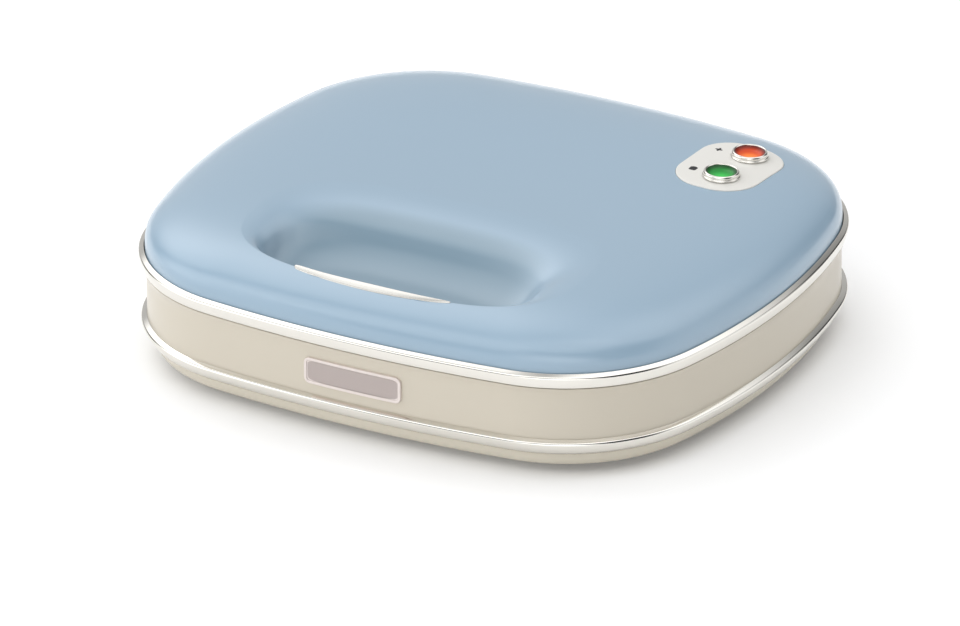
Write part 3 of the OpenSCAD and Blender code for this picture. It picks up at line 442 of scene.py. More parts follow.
dome = {"rise": 19.1, "flat": 5.0, "square": 2.9, "foot": 40.6, "wall": 2.2, "columns": 560,
        "nearShare": 0.08, "nearRows": 16, "farRows": 70, "crowd": 2.4, "skinRounds": 24}
scoop = {"half": 72, "front": 95.5, "back": 19, "deep": 14, "under": 4, "power": 3.0,
         "edgeShare": 0.1, "floorRows": 30, "edgeRows": 14, "floorRings": (0.12, 0.3, 0.48, 0.64, 0.78, 0.9),
         "roundFrom": 10, "roundTo": 7, "roundRounds": 10}
scoopSpan = scoop["front"] - scoop["back"]

coverLoop = outline(insets["cover"])


# Dome height from the share of the way out to the cover's edge, as a superellipse
def domeHeight(x, y):
    share = np.hypot(x, y) / reachOf(coverLoop, np.zeros(2), np.arctan2(y, x))
    share = np.clip(share, 0, 1)
    return levels["rim"] + dome["rise"] * (1 - share ** dome["flat"]) ** (1 / dome["square"])


def onDome(x, y, lift=0):
    return np.stack([x, y, domeHeight(x, y) + lift], -1)


# Shape-keeping cubic through table points (Fritsch-Carlson slopes)
def smoothTable(xs, ys, at):
    xs, ys = np.asarray(xs, float), np.asarray(ys, float)
    h, d = np.diff(xs), np.diff(ys) / np.diff(xs)
    m = np.zeros(len(xs))
    w1, w2 = 2 * h[1:] + h[:-1], h[1:] + 2 * h[:-1]
    same = d[:-1] * d[1:] > 0
    m[1:-1] = np.where(same, (w1 + w2) / np.where(same, w1 / np.where(same, d[:-1], 1)
                                                  + w2 / np.where(same, d[1:], 1), 1), 0)
    m[0], m[-1] = d[0], d[-1]
    k = np.clip(np.searchsorted(xs, at) - 1, 0, len(xs) - 2)
    t = (at - xs[k]) / h[k]
    return ((2 * t ** 3 - 3 * t ** 2 + 1) * ys[k] + (t ** 3 - 2 * t ** 2 + t) * h[k] * m[k]
            + (-2 * t ** 3 + 3 * t ** 2) * ys[k + 1] + (t ** 3 - t ** 2) * h[k] * m[k + 1])


# Scoop table: share of the depth, inset of the ends, share of the run at the back, share of the undercut
scoopTable = np.array([
    [0, 0, 0, 0], [0.03, 4, 0.1, 0], [0.09, 8, 0.2, 0], [0.18, 11, 0.29, 0], [0.3, 13.5, 0.36, 0.1],
    [0.48, 15.5, 0.41, 0.4], [0.67, 17.5, 0.46, 0.85], [0.86, 21, 0.54, 1], [0.97, 27, 0.63, 0.75],
    [1, 36, 0.72, -0.5]])
lipRow = scoopTable[4]


# Closed rings of the outer skin: those inside the scoop from its floor up, then those out over the dome
def coverRings():
    centre = np.array([0, -(scoop["front"] + scoop["back"]) / 2])
    angle = fullTurn(dome["columns"])
    power = scoop["power"]
    ux, uy = np.cos(angle) / scoop["half"], np.sin(angle) / (scoopSpan / 2)
    r = (np.abs(ux) ** power + np.abs(uy) ** power) ** (-1 / power)
    cx, cy = r * ux, r * uy
    edge = scoop["edgeShare"]
    steps = np.concatenate([np.linspace(1, edge, scoop["floorRows"])[:-1],
                            np.linspace(edge, 0, scoop["edgeRows"])])
    index = np.arange(len(scoopTable))
    table = [smoothTable(index, scoopTable[:, k], steps * (len(scoopTable) - 1)) for k in range(4)]
    inside = []
    for depth, end, back, front in zip(*table):
        yBack = -scoop["back"] - scoopSpan * back
        yFront = -scoop["front"] - scoop["under"] * front
        x, y = (scoop["half"] - end) * cx, (yBack + yFront) / 2 + (yBack - yFront) / 2 * cy
        inside.append(onDome(x, y, -depth * scoop["deep"]))
    floor = inside[0]
    mid = floor.mean(0)
    inside = [mid + (floor - mid) * k for k in scoop["floorRings"]] + inside
    # outside the scoop the rings run along straight lines from its centre to the cover's edge
    px, py = scoop["half"] * cx, scoopSpan / 2 * cy
    reach = reachOf(coverLoop, centre, np.arctan2(py, px))
    near = np.hypot(px, py)
    dirX, dirY = px / near, py / near
    share = dome["nearShare"]
    far = 1 - (1 - share) * (1 - np.linspace(0, 1, dome["farRows"])[1:]) ** dome["crowd"]
    outside = []
    for k in np.concatenate([np.linspace(0, share, dome["nearRows"])[1:], far]):
        d = near + (reach - near) * k
        outside.append(onDome(centre[0] + dirX * d, centre[1] + dirY * d))
    return inside, outside


# Evens out every row between the first and the last, in place
def relax(rows, rounds):
    for _ in range(rounds):
        rows[1:-1] = rows[1:-1] * 0.5 + (rows[:-2] + rows[2:]) * 0.25


def buildCover():
    inside, outside = coverRings()
    grid = np.array(inside + outside)
    edgeRow = len(inside) - 1
    # the rows about the scoop's edge are rounded
    relax(grid[edgeRow - scoop["roundFrom"]:edgeRow + scoop["roundTo"]], scoop["roundRounds"])
    # side wall down to the foot, then the inner skin from the same rows moved in along soft normals
    last = grid[-1].copy()
    last[:, 2] = dome["foot"]
    outer = np.concatenate([grid, last[None]])
    normal = np.cross(np.roll(outer, -1, 1) - np.roll(outer, 1, 1), np.gradient(outer, axis=0))
    normal /= np.maximum(np.linalg.norm(normal, axis=-1, keepdims=True), 1e-9)
    relax(normal, dome["skinRounds"])
    normal = unit(normal)
    if normal[-10, :, 2].mean() < 0:
        normal = -normal
    inner = outer - normal * dome["wall"]
    inner[-1] = outer[-1]
    inner[-1, :, :2] -= unit(outer[-1, :, :2]) * dome["wall"]
    inner[:, :, 2] = np.maximum(inner[:, :, 2], dome["foot"])
    rows, cols = outer.shape[:2]
    # the inner skin is never seen closely, so it keeps every second row and column
    inner = inner[np.r_[0:rows - 1:2, rows - 1], ::2]
    rowsIn, colsIn = inner.shape[:2]
    points = np.concatenate([outer.reshape(-1, 3), inner.reshape(-1, 3),
                             [outer[0].mean(0), inner[0].mean(0)]])
    count, total = rows * cols, rows * cols + rowsIn * colsIn
    k, kIn = np.arange(cols), np.arange(colsIn)
    foot, footIn = count - cols, total - colsIn
    rim = np.stack([foot + 2 * kIn, foot + 2 * kIn + 1, foot + (2 * kIn + 2) % cols,
                    footIn + (kIn + 1) % colsIn, footIn + kIn], -1)
    fan = np.stack([(k + 1) % cols, k, np.full(cols, total)], -1)
    fanIn = np.stack([count + kIn, count + (kIn + 1) % colsIn, np.full(colsIn, total + 1)], -1)
    faces = gridQuads(rows, cols).tolist() + (gridQuads(rowsIn, colsIn) + count)[:, ::-1].tolist()
    faces += rim.tolist() + fan.tolist() + fanIn.tolist()
    return makePiece("coverShell", points, faces, sharp=80)


cover = buildCover()

panel = {"x": 71.2, "y": 60.8, "w": 34.4, "d": 47, "corner": 15, "lift": 0.4, "thick": 1.5, "gap": 0.15,
         "recess": -1.6, "above": 3}
lamp = {"x": 2.1, "y": 0.8, "pitch": 22.8, "hole": 6.9, "cut": 8}
axisR = 0.001   # a lathe's profile starts here, just off its axis
hair = 0.01     # and this is kept of a rounded rectangle's straight side


def roundedRect(w, d, r, n=12):
    q = np.repeat(np.arange(4), n + 1)
    t = q * math.pi / 2 + np.tile(np.linspace(0, math.pi / 2, n + 1), 4)
    sx = np.where((q == 0) | (q == 3), 1, -1)
    sy = np.where(q < 2, 1, -1)
    return np.stack([sx * (w / 2 - r) + r * np.cos(t), sy * (d / 2 - r) + r * np.sin(t)], -1)


# The same outline with extra points along its long edges
def fineRect(w, d, r, n=10, along=44):
    ring = roundedRect(w, d, r, n)
    parts = []
    for q in range(4):
        parts.append(ring[q * (n + 1):(q + 1) * (n + 1)])
        if q % 2 == 0:
            a, b = ring[(q + 1) * (n + 1) - 1], ring[(q + 1) * (n + 1) % len(ring)]
            t = np.linspace(0, 1, along + 2)[1:-1, None]
            parts.append(a + (b - a) * t)
    return np.concatenate(parts)


# Rings of the panel's outline, grown by a gap, at each [inset, lift] of the rows
def panelRings(grow, rows):
    rings = []
    for inset, lift in rows:
        ring = roundedRect(panel["w"] + 2 * (grow - inset), panel["d"] + 2 * (grow - inset),
                           max(panel["corner"] + grow - inset, 0.2))
        rings.append(onDome(panel["x"] + ring[:, 0], panel["y"] + ring[:, 1], lift))
    return rings


# Place and tilt of the dome's surface at the middle of the panel
def domeFrame(step=2):
    x, y = panel["x"], panel["y"]
    left, right, front, back, here = domeHeight(np.array([x - step, x + step, x, x, x], float),
                                                np.array([y, y, y - step, y + step, y], float)).tolist()
    slopeX, slopeY = (right - left) / (2 * step), (back - front) / (2 * step)
    turn = Matrix.Rotation(-math.atan(slopeX), 4, "Y") @ Matrix.Rotation(math.atan(slopeY), 4, "X")
    return Matrix.Translation((x, y, here)) @ turn


domeMatrix = domeFrame()


# Profile of [radius, height] turned about the dome's own upright axis at a lamp
def lathe(name, profile, k, sides=96, closedProfile=True):
    profile = np.asarray(profile, float)
    t = fullTurn(sides)
    rings = np.stack([profile[:, :1] * np.cos(t), profile[:, :1] * np.sin(t),
                      np.repeat(profile[:, 1:2], sides, 1)], -1)
    rings[..., 0] += lamp["x"]
    rings[..., 1] += lamp["y"] + k * lamp["pitch"] / 2
    turn = np.array(domeMatrix)
    rings = rings @ turn[:3, :3].T + turn[:3, 3]
    return ringStack(name, rings, capped=not closedProfile, wrapRows=closedProfile)


def buildPanel():
    under, lift = -panel["thick"], panel["lift"]
    rows = [(14, under), (6, under), (0, under), (0, -0.1), (0, 0.1), (0.06, lift - 0.16),
            (0.18, lift - 0.06), (0.36, lift - 0.01)]
    rows += [(inset, lift) for inset in (0.6, 1.5, 3, 6, 9, 12, 14.5, 16.4)]
    piece = ringStack("lampPanel", panelRings(0, rows), sharp=40)
    hole, cut = lamp["hole"], lamp["cut"]
    for k in (-1, 1):
        combine(piece, lathe("cutter", [[axisR, -cut], [hole, -cut], [hole, cut], [axisR, cut]], k,
                             closedProfile=False))
    finishMesh(piece, 40)
    return piece


lampPanel = buildPanel()
recessRows = [(inset, panel["recess"]) for inset in (14, 6, 0)]
recessRows += [(inset, panel["above"]) for inset in (0, 6, 14)]
combine(cover, ringStack("cutter", panelRings(panel["gap"], recessRows)))
finishMesh(cover, 80)
dress(cover, "blueCover", "lid", ["lid_cover"])
dress(lampPanel, "panel", "lid", ["lamp_panel"])
print("cover and panel built")

# Bezel and lens: radius, height and, for the bezel, the rounding radius of each corner
bezelShape = roundedPath([
    (6.8, -3.2), (6.8, 0.45), (7.5, 0.45, 0.1), (7.5, 0.85, 0.3), (7.1, 1.15, 0.35), (7.15, 2.2, 0.9),
    (6.55, 2.75, 0.5), (6.05, 2.5, 0.25), (6.0, 0.2), (6.05, -3.2)], 6)
lensShape = [[axisR, -1.4], [5.95, -1.4], [5.95, 2.25], [5.8, 2.2], [5.5, 1.95], [5.1, 1.6], [4.5, 1.25],
             [3.6, 0.98], [2.6, 0.84], [1.4, 0.76], [axisR, 0.74]]
# Lens finish with its painted light: where the painted highlight sits and how wide it is, where the painted rim
# shade starts and ends, and the strength of the painted glow
lensFinishAndPaintedLight = {"rough": (0.3, 0.36), "spec": 0.25, "coat": 0.15, "coatRough": 0.08, "bump": 0.0,
              "paintedHighlightAt": (0.8, -1.6, 0), "paintedHighlightSize": 5.6, "paintedShadeFrom": 3.9, "paintedShadeTo": 6.0, "paintedLight": 0.32}
# each lamp's own colour, its painted highlight tone and its painted rim shade
lampSets = {
    "power": {"k": 1, "slot": "red_lens", "color": (190, 60, 14), "paintedHighlightTone": (246, 128, 40),
              "rim": (84, 14, 6)},
    "ready": {"k": -1, "slot": "green_lens", "color": (20, 124, 44), "paintedHighlightTone": (44, 184, 72),
              "rim": (6, 56, 20)},
}
for name, s in lampSets.items():
    ring = lathe(name + "Bezel", bezelShape, s["k"])
    dress(ring, "chrome", "lid", [name + "_lamp_bezel"])
    glass = lathe(name + "Lens", lensShape, s["k"], closedProfile=False)
    at = domeMatrix @ Vector((lamp["x"], lamp["y"] + s["k"] * lamp["pitch"] / 2, 0))
    centre = (at.x * mm, (at.y + plan["shiftY"]) * mm, at.z * mm)
    mats[name + "Glow"] = lensWithPaintedLight(name + "Glow", {**lensFinishAndPaintedLight, **s}, centre, tuple(domeMatrix.to_euler()))
    dress(glass, name + "Glow", "lid", [name + "_lamp_lens"])

# Two small signs on the panel, a spark for power and a slice of toast for ready
icons = {"spark": {"x": 60.3, "y": 71.8, "size": 1.6, "core": 0.46, "sharp": 2.2},
         "toast": {"x": 60.8, "y": 50.4, "size": 1.75, "crown": 2.2, "square": 5.0, "wide": 0.86,
                   "ears": 0.16, "earsAt": 0.55, "earsSpan": 0.25, "tall": 0.95},
         "base": 0.36, "top": 0.46}


# Outline of a sign about its own middle, as shares of its size
def iconOutline(kind):
    s, t = icons[kind], fullTurn(96)
    if kind == "spark":
        r = s["core"] + (1 - s["core"]) * np.abs(np.cos(2 * t)) ** s["sharp"]
        return np.stack([r * np.cos(t), r * np.sin(t)], -1)
    power = np.where(np.sin(t) > 0, s["crown"], s["square"])
    r = (np.abs(np.cos(t)) ** power + np.abs(np.sin(t)) ** power) ** (-1 / power)
    wide = s["wide"] + s["ears"] * np.exp(-((np.sin(t) - s["earsAt"]) / s["earsSpan"]) ** 2)
    return np.stack([wide * r * np.cos(t), s["tall"] * r * np.sin(t)], -1)


def buildIcon(kind):
    s = icons[kind]
    flat = iconOutline(kind) * s["size"]
    rings = [onDome(s["x"] + flat[:, 0] * share, s["y"] + flat[:, 1] * share, icons[lift])
             for share, lift in ((0.5, "base"), (1, "base"), (1, "top"), (0.5, "top"))]
    return ringStack(kind + "Sign", rings)


for kind in ("spark", "toast"):
    dress(buildIcon(kind), "icon", "lid")

# Grip strip: a slim crescent on the scoop's front lip, slimmer at its right end
grip = {"half": 34.7, "wide": 3.1, "arc": 193, "rise": 0.9, "low": 0.25, "deep": 1.6, "rows": 120,
        "leftPower": 24, "rightPower": 3, "overlap": 0.1, "backShare": 0.6}


# Front edge of the scoop at a distance x from the middle
def lipY(x):
    wide, deep = scoop["half"] - lipRow[1], scoopSpan * (1 - lipRow[2]) / 2
    return -scoop["front"] + deep - deep * (1 - (np.abs(x) / wide) ** scoop["power"]) ** (1 / scoop["power"])


def buildGrip():
    x = grip["half"] * np.sin(np.linspace(-math.pi / 2, math.pi / 2, grip["rows"]))
    back = lipY(x) + grip["overlap"]
    front = -scoop["front"] - grip["wide"] + x ** 2 / (2 * grip["arc"])
    power = np.where(x > 0, grip["rightPower"], grip["leftPower"])
    ends = np.sqrt(np.clip(1 - (np.abs(x) / grip["half"]) ** power, 0, 1))
    mid = back * grip["backShare"] + front * (1 - grip["backShare"])
    back, front = mid + (back - mid) * ends, mid + (front - mid) * ends
    section = roundedPath([(0, -1), (0, 1, 0.45), (0.45, 0.72, 0.4), (1, 0, 0.3), (1, -1)], 8)
    u, v = section[None, :, 0], section[None, :, 1]
    y = back[:, None] + (front - back)[:, None] * u
    lift = np.where(v >= 0, grip["low"] + (grip["rise"] - grip["low"]) * v * ends[:, None] ** 0.5,
                    grip["low"] + (grip["deep"] + grip["low"]) * v)
    return ringStack("gripStrip", onDome(np.repeat(x[:, None], len(section), 1), y, lift), sharp=40)


dress(buildGrip(), "gripMetal", "lid", ["grip_trim"])

# Profiles swept round the plan: inset, height and rounding radius of each corner
lidTrimShape = roundedPath([
    (0.9, levels["lidLow"], 0.25), (0.4, 41.2, 1.4), (0.0, 43.5, 0.5), (0.35, 44.15, 0.45),
    (2.05, 45.05, 0.2), (2.2, 45.1), (2.3, 44.25), (1.5, 42.9, 0.3), (1.4, 41.6), (2.0, levels["lidLow"])])
baseTrimShape = roundedPath([
    (4.0, 9.9), (2.5, 11.2, 0.8), (1.2, 13.2, 1.6), (0.6, 15.1, 0.6), (0.95, 15.85, 0.45), (2.8, 16.75, 0.2),
    (3.0, levels["trimTop"]), (3.0, 15.7), (2.0, 14.8, 0.3), (2.1, 13.8), (3.1, 12.1), (4.2, 11.2),
    (5.0, 10.8)])
bandShape = roundedPath([
    (insets["band"], levels["bandLow"]), (insets["band"], 32.6, 2.5), (2.8, 35.2, 1.4), (2.1, 37.3, 1.2),
    (1.0, levels["bandTop"], 0.5), (5.3, levels["bandTop"]), (5.3, levels["bandLow"])], 8)
dress(sweepRound("lidTrim", lidTrimShape), "chrome", "lid", ["lid_trim_ring"])
dress(sweepRound("baseTrim", baseTrimShape), "chrome", "base", ["base_trim_ring"])

# Cuts in the rear of the band: a notch and two screw holes for each hinge, and the cord gland's hole
hinge = {"x": 62, "armW": 14, "slack": 0.6, "notchY": (95, 116), "notchZ": (33.5, 60), "screwX": 5,
         "screwZ": 27.0, "screwR": 1.7, "screwLen": 20}
gland = {"y": 93.5, "z": 25.4, "r": 5.55, "len": 30}


def buildBand():
    band = sweepRound("creamBand", bandShape)
    (y0, y1), (z0, z1) = hinge["notchY"], hinge["notchZ"]
    half = hinge["armW"] / 2 + hinge["slack"]
    for side in (-1, 1):
        x = side * hinge["x"]
        combine(band, boxCutter((x - half, y0, z0), (x + half, y1, z1)))
        for s in (-1, 1):
            combine(band, rodCutter((x + s * hinge["screwX"], y0, hinge["screwZ"]), hinge["screwR"],
                                    hinge["screwLen"], "y"))
    combine(band, rodCutter((0, gland["y"], gland["z"]), gland["r"], gland["len"], "y"))
    finishMesh(band)
    return band


dress(buildBand(), "cream", "base", ["base_band"])

# Toasting plates: drafted triangular pockets with a rounded mouth and floor in a flat flange
plateSet = {"w": 208, "d": 118, "corner": 14, "back": 17, "flange": 2.4, "wall": 2.2, "rim": 7, "ridge": 4,
            "pocketCorner": 8, "cornerFade": 0.5, "draft": 15, "mouth": 1.1, "fillet": 2.5, "above": 1.5,
            "shellFillet": 3.5, "shellStart": -1.0, "studs": ((38, -1), (52, 35.5)), "studR": 3, "studLen": 7.5,
            "studBite": 0.5}
plateKinds = {"lower": {"deep": 12, "level": 38.9, "up": 1, "body": "base"},
              "upper": {"deep": 8, "level": 39.5, "up": -1, "body": "lid"}}
quarter = np.linspace(0, math.pi / 2, 7)


# Corners of an anticlockwise triangle moved inwards by d: each side shifts along its own normal
def insetTriangle(tri, d):
    u, v = unit(tri - np.roll(tri, 1, 0)), unit(np.roll(tri, -1, 0) - tri)
    a = tri + d * np.stack([-u[:, 1], u[:, 0]], -1)
    b = tri + d * np.stack([-v[:, 1], v[:, 0]], -1)
    gap = b - a
    k = (gap[:, 0] * v[:, 1] - gap[:, 1] * v[:, 0]) / (u[:, 0] * v[:, 1] - u[:, 1] * v[:, 0])
    return a + u * k[:, None]


# Ring of the triangle inset by d with corners of radius r
def triangleRing(tri, d, r, n=9):
    u, v = tri - np.roll(tri, 1, 0), np.roll(tri, -1, 0) - tri
    start = np.arctan2(u[:, 1], u[:, 0]) - math.pi / 2
    turn = (np.arctan2(v[:, 1], v[:, 0]) - math.pi / 2 - start) % (2 * math.pi)
    t = start[:, None] + turn[:, None] * np.linspace(0, 1, n + 1)
    c = insetTriangle(tri, d + r)[:, None]
    return np.stack([c[..., 0] + r * np.cos(t), c[..., 1] + r * np.sin(t)], -1).reshape(-1, 2)


# The two triangles of one bread slice, with half of the diagonal ridge taken off their long sides
def sliceTriangles(p):
    w, d = (p["w"] - 2 * p["rim"] - p["ridge"]) / 2, p["d"] - 2 * p["rim"]
    x0, y0 = p["ridge"] / 2, p["back"] - d / 2
    near = np.array([[x0, y0], [x0 + w, y0], [x0, y0 + d]], float)
    far = np.array([[x0 + w, y0 + d], [x0, y0 + d], [x0 + w, y0]], float)
    for tri in (near, far):
        slope = unit(tri[2] - tri[1])
        normal = np.array([-slope[1], slope[0]])
        for k in (1, 2):
            side = unit(tri[k] - tri[0])
            tri[k] = tri[k] - side * (p["ridge"] / 2) / abs(normal @ side)
    return near, far


# Pocket rings from the mouth down: quarter turns at the mouth and floor with the drafted wall between
def pocketRings(tri, deep, p):
    lean, m, f = math.tan(math.radians(p["draft"])), p["mouth"], p["fillet"]
    rows = [(-m, p["above"])]
    rows += [(-m + (m + m * lean) * math.sin(k), -m * (1 - math.cos(k))) for k in quarter]
    rows += [((deep - f) * lean + f * (1 - math.cos(k)), -(deep - f) - f * math.sin(k)) for k in quarter]
    return [atHeight(triangleRing(tri, d, p["pocketCorner"] - p["cornerFade"] * d), z) for d, z in rows]


# The pocket's shell on the back of the plate, one wall outside the pocket
def shellRings(tri, deep, p):
    lean, g, f = math.tan(math.radians(p["draft"])), p["wall"], p["shellFillet"]
    rows = [(-g, p["shellStart"])]
    rows += [((deep - f + g) * lean - g + f * (1 - math.cos(k)), -(deep + g - f) - f * math.sin(k))
             for k in quarter]
    return [atHeight(triangleRing(tri, d, p["pocketCorner"] + g - p["cornerFade"] * (d + g)), z)
            for d, z in rows]


def buildPlate(name, kind, p):
    def placed(rings, side=1):
        rings = np.array(rings, float)
        rings[..., 0] *= side
        rings[..., 2] = kind["level"] + kind["up"] * rings[..., 2]
        return rings

    edge = [(0.7, 0), (0.35, -0.05), (0.1, -0.22), (0, -0.5), (0, -p["flange"] + 0.3), (0.3, -p["flange"])]
    slab = []
    for inset, z in edge:
        ring = roundedRect(p["w"] - 2 * inset, p["d"] - 2 * inset, p["corner"] - inset)
        slab.append(atHeight(ring + (0, p["back"]), z))
    piece = ringStack(name, placed(slab))
    triangles = sliceTriangles(p)
    sides = (-1, 1)
    deep = kind["deep"]
    for tri in triangles:
        shells = [ringStack("shell", placed(shellRings(tri, deep, p), side)) for side in sides]
        combine(piece, gather(shells), "UNION")
    low = -deep - p["wall"] - p["studLen"]
    studs = []
    for at in p["studs"]:
        ring = roundedRect(2 * p["studR"], 2 * p["studR"], p["studR"] - hair, 8) + at
        rings = [atHeight(ring, z) for z in (low, low + p["studLen"] + p["studBite"])]
        studs += [ringStack("stud", placed(rings, side)) for side in sides]
    combine(piece, gather(studs), "UNION")
    combine(piece, gather([ringStack("cutter", placed(pocketRings(tri, deep, p), side))
                           for tri in triangles for side in sides]))
    finishMesh(piece, 30)
    return piece


for name, kind in plateKinds.items():
    plate = buildPlate(name + "Plate", kind, plateSet)
    dress(plate, "nonStick", kind["body"], [name + "_plate"])
print("plates built")

# Tray: two groups of vent slots, six screw wells (three a side) and four holes for the feet's pegs
tray = {"slots": 7, "pitch": 8, "slotX": 38, "slotY": 17, "slotW": 3.2, "slotLen": 30, "cut": (1, 9),
        "wells": ((cornerAt[0] + 36, -cornerAt[1] - 23), (115.5, 17), (99.5, 79)), "wellR": 3.6,
        "wellLen": 3.8, "peg": (cornerAt[0] + 18, cornerAt[1] + 17), "pegR": 2.7, "pegLen": 8}
trayShape = roundedPath([
    (9.4, levels["trayLow"], 0.8), (7.4, 4.3, 1.2), (5.8, 6.4, 1.5), (4.7, 9.7, 0.3), (5.6, 9.8), (5.6, 11.0),
    (5.6, 14.8), (7.4, 14.8), (7.5, 8.6), (9.0, 6.2), (10.6, 5.4)])


def buildTray():
    piece = ringStack("trayShell", [atHeight(outline(d), z) for d, z in trayShape])
    low, high = tray["cut"]
    slot = roundedRect(tray["slotW"], tray["slotLen"] + tray["slotW"], tray["slotW"] / 2 - hair, 6)
    for side in (-1, 1):
        for i in range(tray["slots"]):
            x = side * (tray["slotX"] + (i - (tray["slots"] - 1) / 2) * tray["pitch"])
            combine(piece, ringStack("cutter", [atHeight(slot + (x, tray["slotY"]), z) for z in (low, high)]))
        for x, y in tray["wells"]:
            combine(piece, rodCutter((side * x, y, low), tray["wellR"], tray["wellLen"], "z"))
        for s in (-1, 1):
            combine(piece, rodCutter((side * tray["peg"][0], s * tray["peg"][1], low), tray["pegR"],
                                     tray["pegLen"], "z"))
    finishMesh(piece)
    return piece


dress(buildTray(), "tray", "base", ["base_tray"])
print("trims, band and tray built")

# Badge: a bare field inside a raised border, bent round the front; heights stand out from the band's face
badge = {"w": 43, "h": 11, "r": 2.5, "z": 26.796, "inset": insets["band"], "back": -0.4, "crest": 1.15,
         "field": 0.55}


def buildBadge():
    half, back, crest, field = badge["h"] / 2, badge["back"], badge["crest"], badge["field"]
    rows = [(half, back), (half - 1, back), (0, back), (0, crest - 0.4), (0.06, crest - 0.2),
            (0.18, crest - 0.07), (0.36, crest), (0.8, crest), (1.0, crest - 0.05), (1.14, crest - 0.15),
            (1.25, crest - 0.35), (1.3, field + 0.07)]
    rows += [(inset, field) for inset in (1.4, 2.2, 3.4, 4.6, half)]
    rings = []
    for inset, lift in rows:
        ring = fineRect(badge["w"] - 2 * inset, badge["h"] - 2 * inset, max(badge["r"] - inset, 0.12))
        if inset == half:
            ring[:, 1] = 0
        y = -(faceY(ring[:, 0], badge["inset"]) + lift)
        rings.append(np.stack([ring[:, 0], y, ring[:, 1] + badge["z"]], -1))
    return ringStack("badgeField", rings, capped=False, sharp=40)


tintWithin(mats["badge"], {"color": (178, 167, 163), "axes": (0, 2), "half": (20.3, 4.35),
                           "middle": (0, badge["z"]), "power": 8.0, "full": 0.97})
dress(buildBadge(), "badge", "base", ["badge_plate"])

# Finishes of the nodes that keep their own shape
nodeLooks = {
    "holder": ("lamp_holder", "terminal_block"),
    "bulb": ("lamp_bulbs",),
    "blackPlastic": ("lid_inner_frame", "base_inner_frame"),
    "screw": ("lid_frame_screws", "upper_plate_screws", "hinge_arm_screws", "base_screws",
              "lower_plate_screws", "hinge_bracket_screws"),
    "element": ("upper_heating_element", "lower_heating_element"),
    "reflector": ("upper_reflector", "lower_reflector"),
    "steel": ("hinge_arm_left", "hinge_arm_right", "thermostat", "thermal_fuse", "hinge_bracket_left",
              "hinge_bracket_right", "hinge_pin_left", "hinge_pin_right"),
    "brass": ("terminal_screws",),
    "rubber": ("cord_gland", "foot_front_left", "foot_front_right", "foot_rear_left", "foot_rear_right"),
}
for look, names in nodeLooks.items():
    for name in names:
        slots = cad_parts[name].data.materials
        slots.clear()
        slots.append(mats[look])
print("nodes dressed")

studio = {"floor": 0.97, "rough": 0.9, "spec": 0.1, "size": 6.0, "floorLift": 0.08}


# One where a ray is of any of the named kinds
def lightPathMask(tree, names):
    path = addNode(tree, "LightPath").outputs
    total = path[names[0]]
    for name in names[1:]:
        total = addNode(tree, "Math", links={0: total, 1: path[name]}, operation="MAXIMUM").outputs[0]
    return total


# Pale floor that keeps the shadow; seen by the camera, in metal or through glass it is lifted to white
def buildStage():
    mesh = bpy.data.meshes.new("floor")
    h = studio["size"]
    mesh.from_pydata([(-h, -h, 0), (h, -h, 0), (h, h, 0), (-h, h, 0)], [], [[0, 1, 2, 3]])
    floor = bpy.data.objects.new("floor", mesh)
    bpy.context.scene.collection.objects.link(floor)
    mat = bpy.data.materials.new("floorWhite")
    mat.use_nodes = True
    tree = mat.node_tree
    shader = tree.nodes["Principled BSDF"]
    for key, value in (("Base Color", (studio["floor"],) * 3 + (1,)), ("Roughness", studio["rough"]),
                       ("Specular IOR Level", studio["spec"]), ("Emission Color", (1, 1, 1, 1))):
        shader.inputs[key].default_value = value
    seen = lightPathMask(tree, ("Is Camera Ray", "Is Glossy Ray", "Is Transmission Ray"))
    lift = addNode(tree, "Math", {1: studio["floorLift"]}, {0: seen}, operation="MULTIPLY")
    tree.links.new(lift.outputs[0], shader.inputs["Emission Strength"])
    mesh.materials.append(mat)


buildStage()


# Soft light patches on the sky: azimuth from the front towards the right, elevation, spread and strength
sky = {"plain": 0.05, "full": 0.25, "tone": (0.985, 0.99, 1.0, 1),
       "patches": ((20, 0, 40, 2.1), (300, 5, 38, 2.0), (120, 5, 40, 1.0), (215, 20, 50, 0.55),
                   (330, 38, 28, 1.6), (250, 48, 34, 1.8), (145, 60, 36, 1.5), (20, 70, 34, 1.5))}


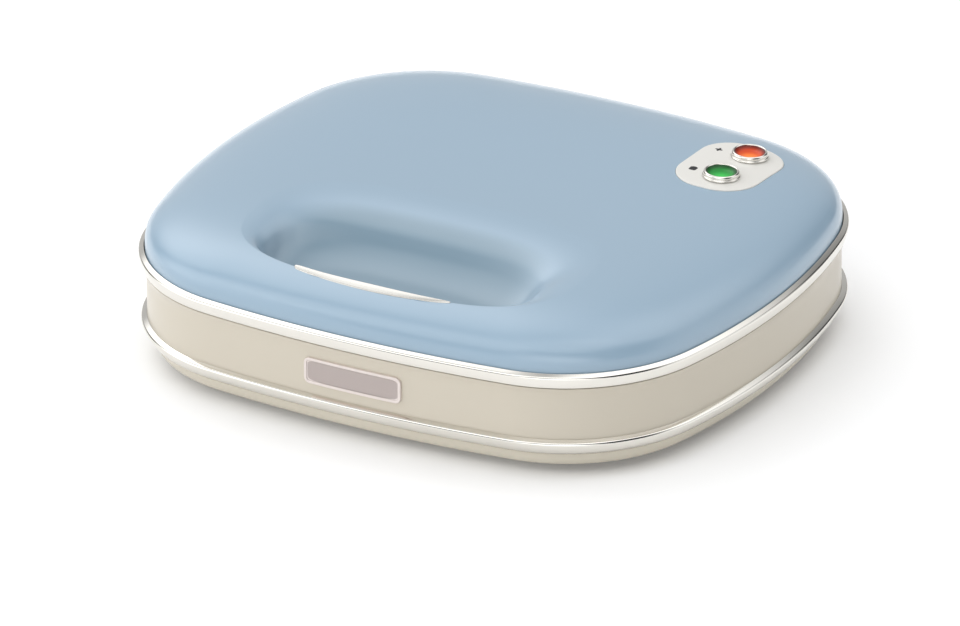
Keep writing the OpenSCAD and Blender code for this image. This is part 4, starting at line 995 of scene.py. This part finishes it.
# A patch is full near its middle and fades with the angle from it; the camera itself sees a plain white sky
def buildWorld():
    world = bpy.data.worlds.new("studioWorld")
    bpy.context.scene.world = world
    world.use_nodes = True
    tree = world.node_tree
    background = tree.nodes["Background"]
    direction = addNode(tree, "TexCoord").outputs["Generated"]
    plain = addNode(tree, "Value")
    plain.outputs[0].default_value = sky["plain"]
    total = plain.outputs[0]
    for azimuth, elevation, spread, strength in sky["patches"]:
        a, e, w = (math.radians(v) for v in (azimuth, elevation, spread))
        middle = (math.sin(a) * math.cos(e), -math.cos(a) * math.cos(e), math.sin(e))
        facing = addNode(tree, "VectorMath", {1: middle}, {0: direction}, operation="DOT_PRODUCT")
        fade = addNode(tree, "MapRange", {"From Min": math.cos(w), "From Max": math.cos(w * sky["full"]),
                                          "To Max": strength},
                       {"Value": facing.outputs["Value"]}, interpolation_type="SMOOTHSTEP")
        total = addNode(tree, "Math", links={0: total, 1: fade.outputs["Result"]}).outputs[0]
    camera = lightPathMask(tree, ("Is Camera Ray",))
    pick = addNode(tree, "Mix", {3: 1.0}, {0: camera, 2: total})
    tree.links.new(pick.outputs[0], background.inputs["Strength"])
    background.inputs["Color"].default_value = sky["tone"]


buildWorld()

# Camera: azimuth from the front towards the right; distance in metres, scale in pixels per millimetre
view = {"azimuth": 30.0, "elevation": 25.28, "roll": -0.71, "distance": 8.0, "scale": 2.57,
        "target": (0, plan["shiftY"], 40), "targetPixel": (494.2, 241.9), "frame": (960, 626), "sensor": 36}


def buildCamera(v):
    az, el, roll = (math.radians(v[k]) for k in ("azimuth", "elevation", "roll"))
    back = Vector((math.sin(az) * math.cos(el), -math.cos(az) * math.cos(el), math.sin(el)))
    right0 = Vector((math.cos(az), math.sin(az), 0))
    up0 = back.cross(right0)
    right = right0 * math.cos(roll) + up0 * math.sin(roll)
    up = up0 * math.cos(roll) - right0 * math.sin(roll)
    dx = (v["targetPixel"][0] - v["frame"][0] / 2) / v["scale"] * mm
    dy = (v["targetPixel"][1] - v["frame"][1] / 2) / v["scale"] * mm
    centre = Vector(v["target"]) * mm - right * dx + up * dy
    data = bpy.data.cameras.new("camera")
    data.sensor_width = v["sensor"]
    data.lens = v["sensor"] * v["scale"] / mm * v["distance"] / v["frame"][0]
    data.clip_end = 60
    cam = bpy.data.objects.new("camera", data)
    bpy.context.scene.collection.objects.link(cam)
    turn = Matrix((right, up, back)).transposed().to_4x4()
    cam.matrix_world = Matrix.Translation(centre + back * v["distance"]) @ turn
    bpy.context.scene.camera = cam


buildCamera(view)
bpy.context.scene.view_settings.view_transform = "Standard"
print("stage set")
